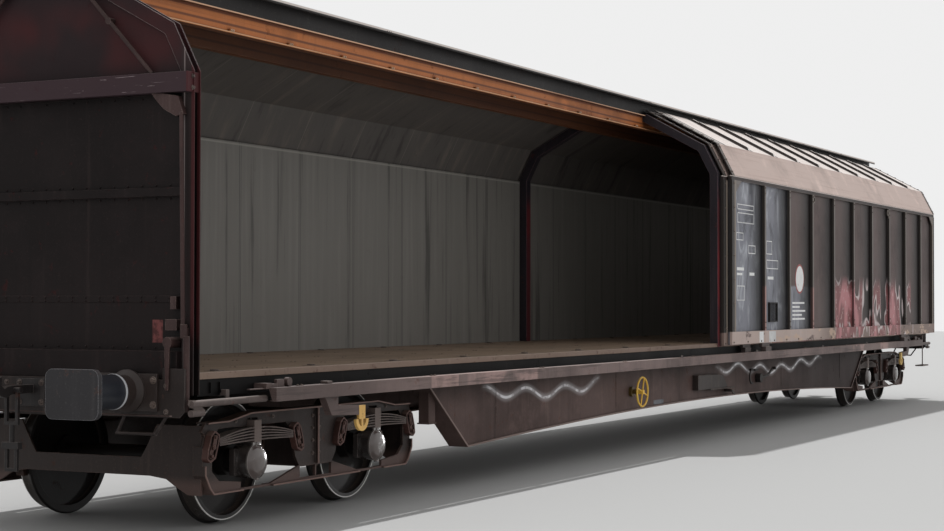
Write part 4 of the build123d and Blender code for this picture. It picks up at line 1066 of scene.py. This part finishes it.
# How far from the pivot and how high each rivet stands, and each bead runs
RIVETS = ((0.05, 0.46), (0.05, 0.56), (0.05, 0.66), (0.05, 0.76), (1.45, 0.56), (1.45, 0.64), (0.62, 0.785),
          (1.12, 0.775))
BEADS = (((0.010, 0.38), (0.010, 0.80)), ((0.05, 0.266), (0.64, 0.266)),
         ((0.95, 0.819), (1.24, 0.772), (1.48, 0.770)))
for bogie, pivot in BOGIES:
    bolts(bogie + "_frame_bolts", bogie, bolt_steel,
          [((pivot + end * x, side * FRAME_FACE, z + RAIL_TOP), (0, side, 0))
           for side in SIDES for end in SIDES for x, z in RIVETS], 0.011)
    lines = [[(pivot + end * x, side * (FRAME_FACE + 0.001), z + RAIL_TOP) for x, z in bead]
             for side in SIDES for end in SIDES for bead in BEADS]
    welds(bogie + "_welds", bogie, bogie_paint, lines, 0.03)

# Wheelsets: solid rolled steel wheels pressed on a forged axle. The tread is polished by the rail and its
# edge carries a painted highlight, the discs are brown-black with brake dust.
for name in ("wheelset_a1", "wheelset_a2", "wheelset_b1", "wheelset_b2"):
    wheel_steel = weathered(name + "_steel", tone(27, 23, 22), tone(70, 60, 55), tone(66, 44, 36),
                            streaks=0.0, rusty=0.4, ledges=0.0, recess_shade=0.7, rubbed=0.4, roughness=0.5)
    place = wheel_steel.place
    low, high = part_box(name)
    x, z = place.part("X") - (low.x + high.x) / 2, place.part("Z") - (low.z + high.z) / 2
    radius, out = (x * x + z * z).root(), place.part("Y").size()
    tread = out.between(0.716, 0.818, 0.003) * radius.ramp(0.448, 0.453)
    # Painted highlight round the outer edge of the tread
    edge_highlight = radius.between(0.447, 0.461, 0.002) * out.ramp(0.805, 0.812)
    groove = radius.between(0.412, 0.417, 0.002)
    wheel_steel.cover(tone(92, 86, 82), tread * 0.6)
    wheel_steel.cover(tone(246, 243, 240), edge_highlight * 0.95)
    wheel_steel.cover(tone(92, 82, 76), groove * 0.5)
    wheel_steel.tree.links.new((tread * 0.5).socket, wheel_steel.shader.inputs["Metallic"])
    wheel_steel.roughness = wheel_steel.roughness - tread * 0.2
    polished.objects.link(turned_piece(wheel_steel, name)[0])

# Floor and lights of the studio: an even grey floor under a white sky, a sun high behind the wagon, and
# lamps that draw highlights and reach inside it.
FLOOR_REACH = 90.0
floor_mesh = bpy.data.meshes.new("floor")
corners = [(x * FLOOR_REACH, y * FLOOR_REACH, 0) for x, y in ((-1, -1), (1, -1), (1, 1), (-1, 1))]
floor_mesh.from_pydata(corners, [], [(0, 1, 2, 3)])
floor = linked("floor", floor_mesh)
floor_finish = bpy.data.materials.new("floor_paint")
floor_finish.use_nodes = True
floor_shader = floor_finish.node_tree.nodes["Principled BSDF"]
floor_shader.inputs["Base Color"].default_value = (0.47, 0.47, 0.465, 1.0)
floor_shader.inputs["Roughness"].default_value = 0.9
floor_mesh.materials.append(floor_finish)

# How bright the sky is as a light, and how bright where it is seen or mirrored
SKY_LIGHT, SKY_SEEN = 0.60, 0.86
world = bpy.data.worlds.new("studio")
bpy.context.scene.world = world
world.use_nodes = True
sky = world.node_tree
path = sky.nodes.new("ShaderNodeLightPath")
seen = Field(sky, path.outputs["Is Camera Ray"])
for ray in ("Is Glossy Ray", "Is Transmission Ray"):
    seen = seen.most(Field(sky, path.outputs[ray]))
sky.nodes["Background"].inputs["Color"].default_value = (1.0, 1.0, 1.0, 1.0)
strength = seen * (SKY_SEEN - SKY_LIGHT) + SKY_LIGHT
sky.links.new(strength.socket, sky.nodes["Background"].inputs["Strength"])


def aimed(thing, way):
    """A light or camera turned to look along one way."""
    thing.rotation_mode = "QUATERNION"
    thing.rotation_quaternion = Vector(way).to_track_quat("-Z", "Y")
    return thing


sun = aimed(linked("sun", bpy.data.lights.new("sun", "SUN")), (-0.50, -0.24, -0.83))
sun.data.energy = 2.4
sun.data.angle = math.radians(1.5)


def soft_lamp(name, watts, width, height, place, aim, lit=None):
    """A soft lamp out of sight: plain light, or highlights on the pieces of a collection."""
    lamp = aimed(linked(name, bpy.data.lights.new(name, "AREA")), aim)
    lamp.data.shape = "RECTANGLE"
    lamp.data.size, lamp.data.size_y, lamp.data.energy = width, height, watts
    lamp.location = place
    lamp.visible_camera, lamp.visible_glossy, lamp.visible_diffuse = False, bool(lit), not lit
    lamp.light_linking.receiver_collection = lit


# Two lamps, one over the other, draw a broken line of light down each polished cover
LAMP_POWER, LAMP_WIDTH = 190.0, 0.30
for name, low, high in (("low_lamp", 0.1, 1.1), ("high_lamp", 2.0, 3.8)):
    soft_lamp(name, LAMP_POWER * LAMP_WIDTH * (high - low), LAMP_WIDTH, high - low,
              (-1.8, -2.6, (low + high) / 2), (-1.0, 0.18, 0.0), polished)
soft_lamp("inside_lamp", 6.0, 8.0, 1.2, (5.5, 0.0, 3.7), (0.0, 0.0, -1.0))

# The camera of the photograph: its place and direction in the wagon's frame, and the length of its lens
# from the width of the picture in pixels.
FOCAL_PIXELS, FRAME_PIXELS, SENSOR = 1798.1, 944, 36.0
yaw, pitch, roll = (math.radians(angle) for angle in (62.855, 1.2, -0.082))
forward = (math.sin(yaw) * math.cos(pitch), math.cos(yaw) * math.cos(pitch), math.sin(pitch))
camera = aimed(linked("camera", bpy.data.cameras.new("camera")), forward)
camera.rotation_quaternion = Quaternion(forward, roll) @ camera.rotation_quaternion
camera.location = (-21.109, -8.748, 1.655 + RAIL_TOP)
camera.data.sensor_width = SENSOR
camera.data.lens = SENSOR * FOCAL_PIXELS / FRAME_PIXELS
camera.data.clip_end = 300.0
bpy.context.scene.camera = camera
bpy.context.scene.view_settings.view_transform = "Standard"
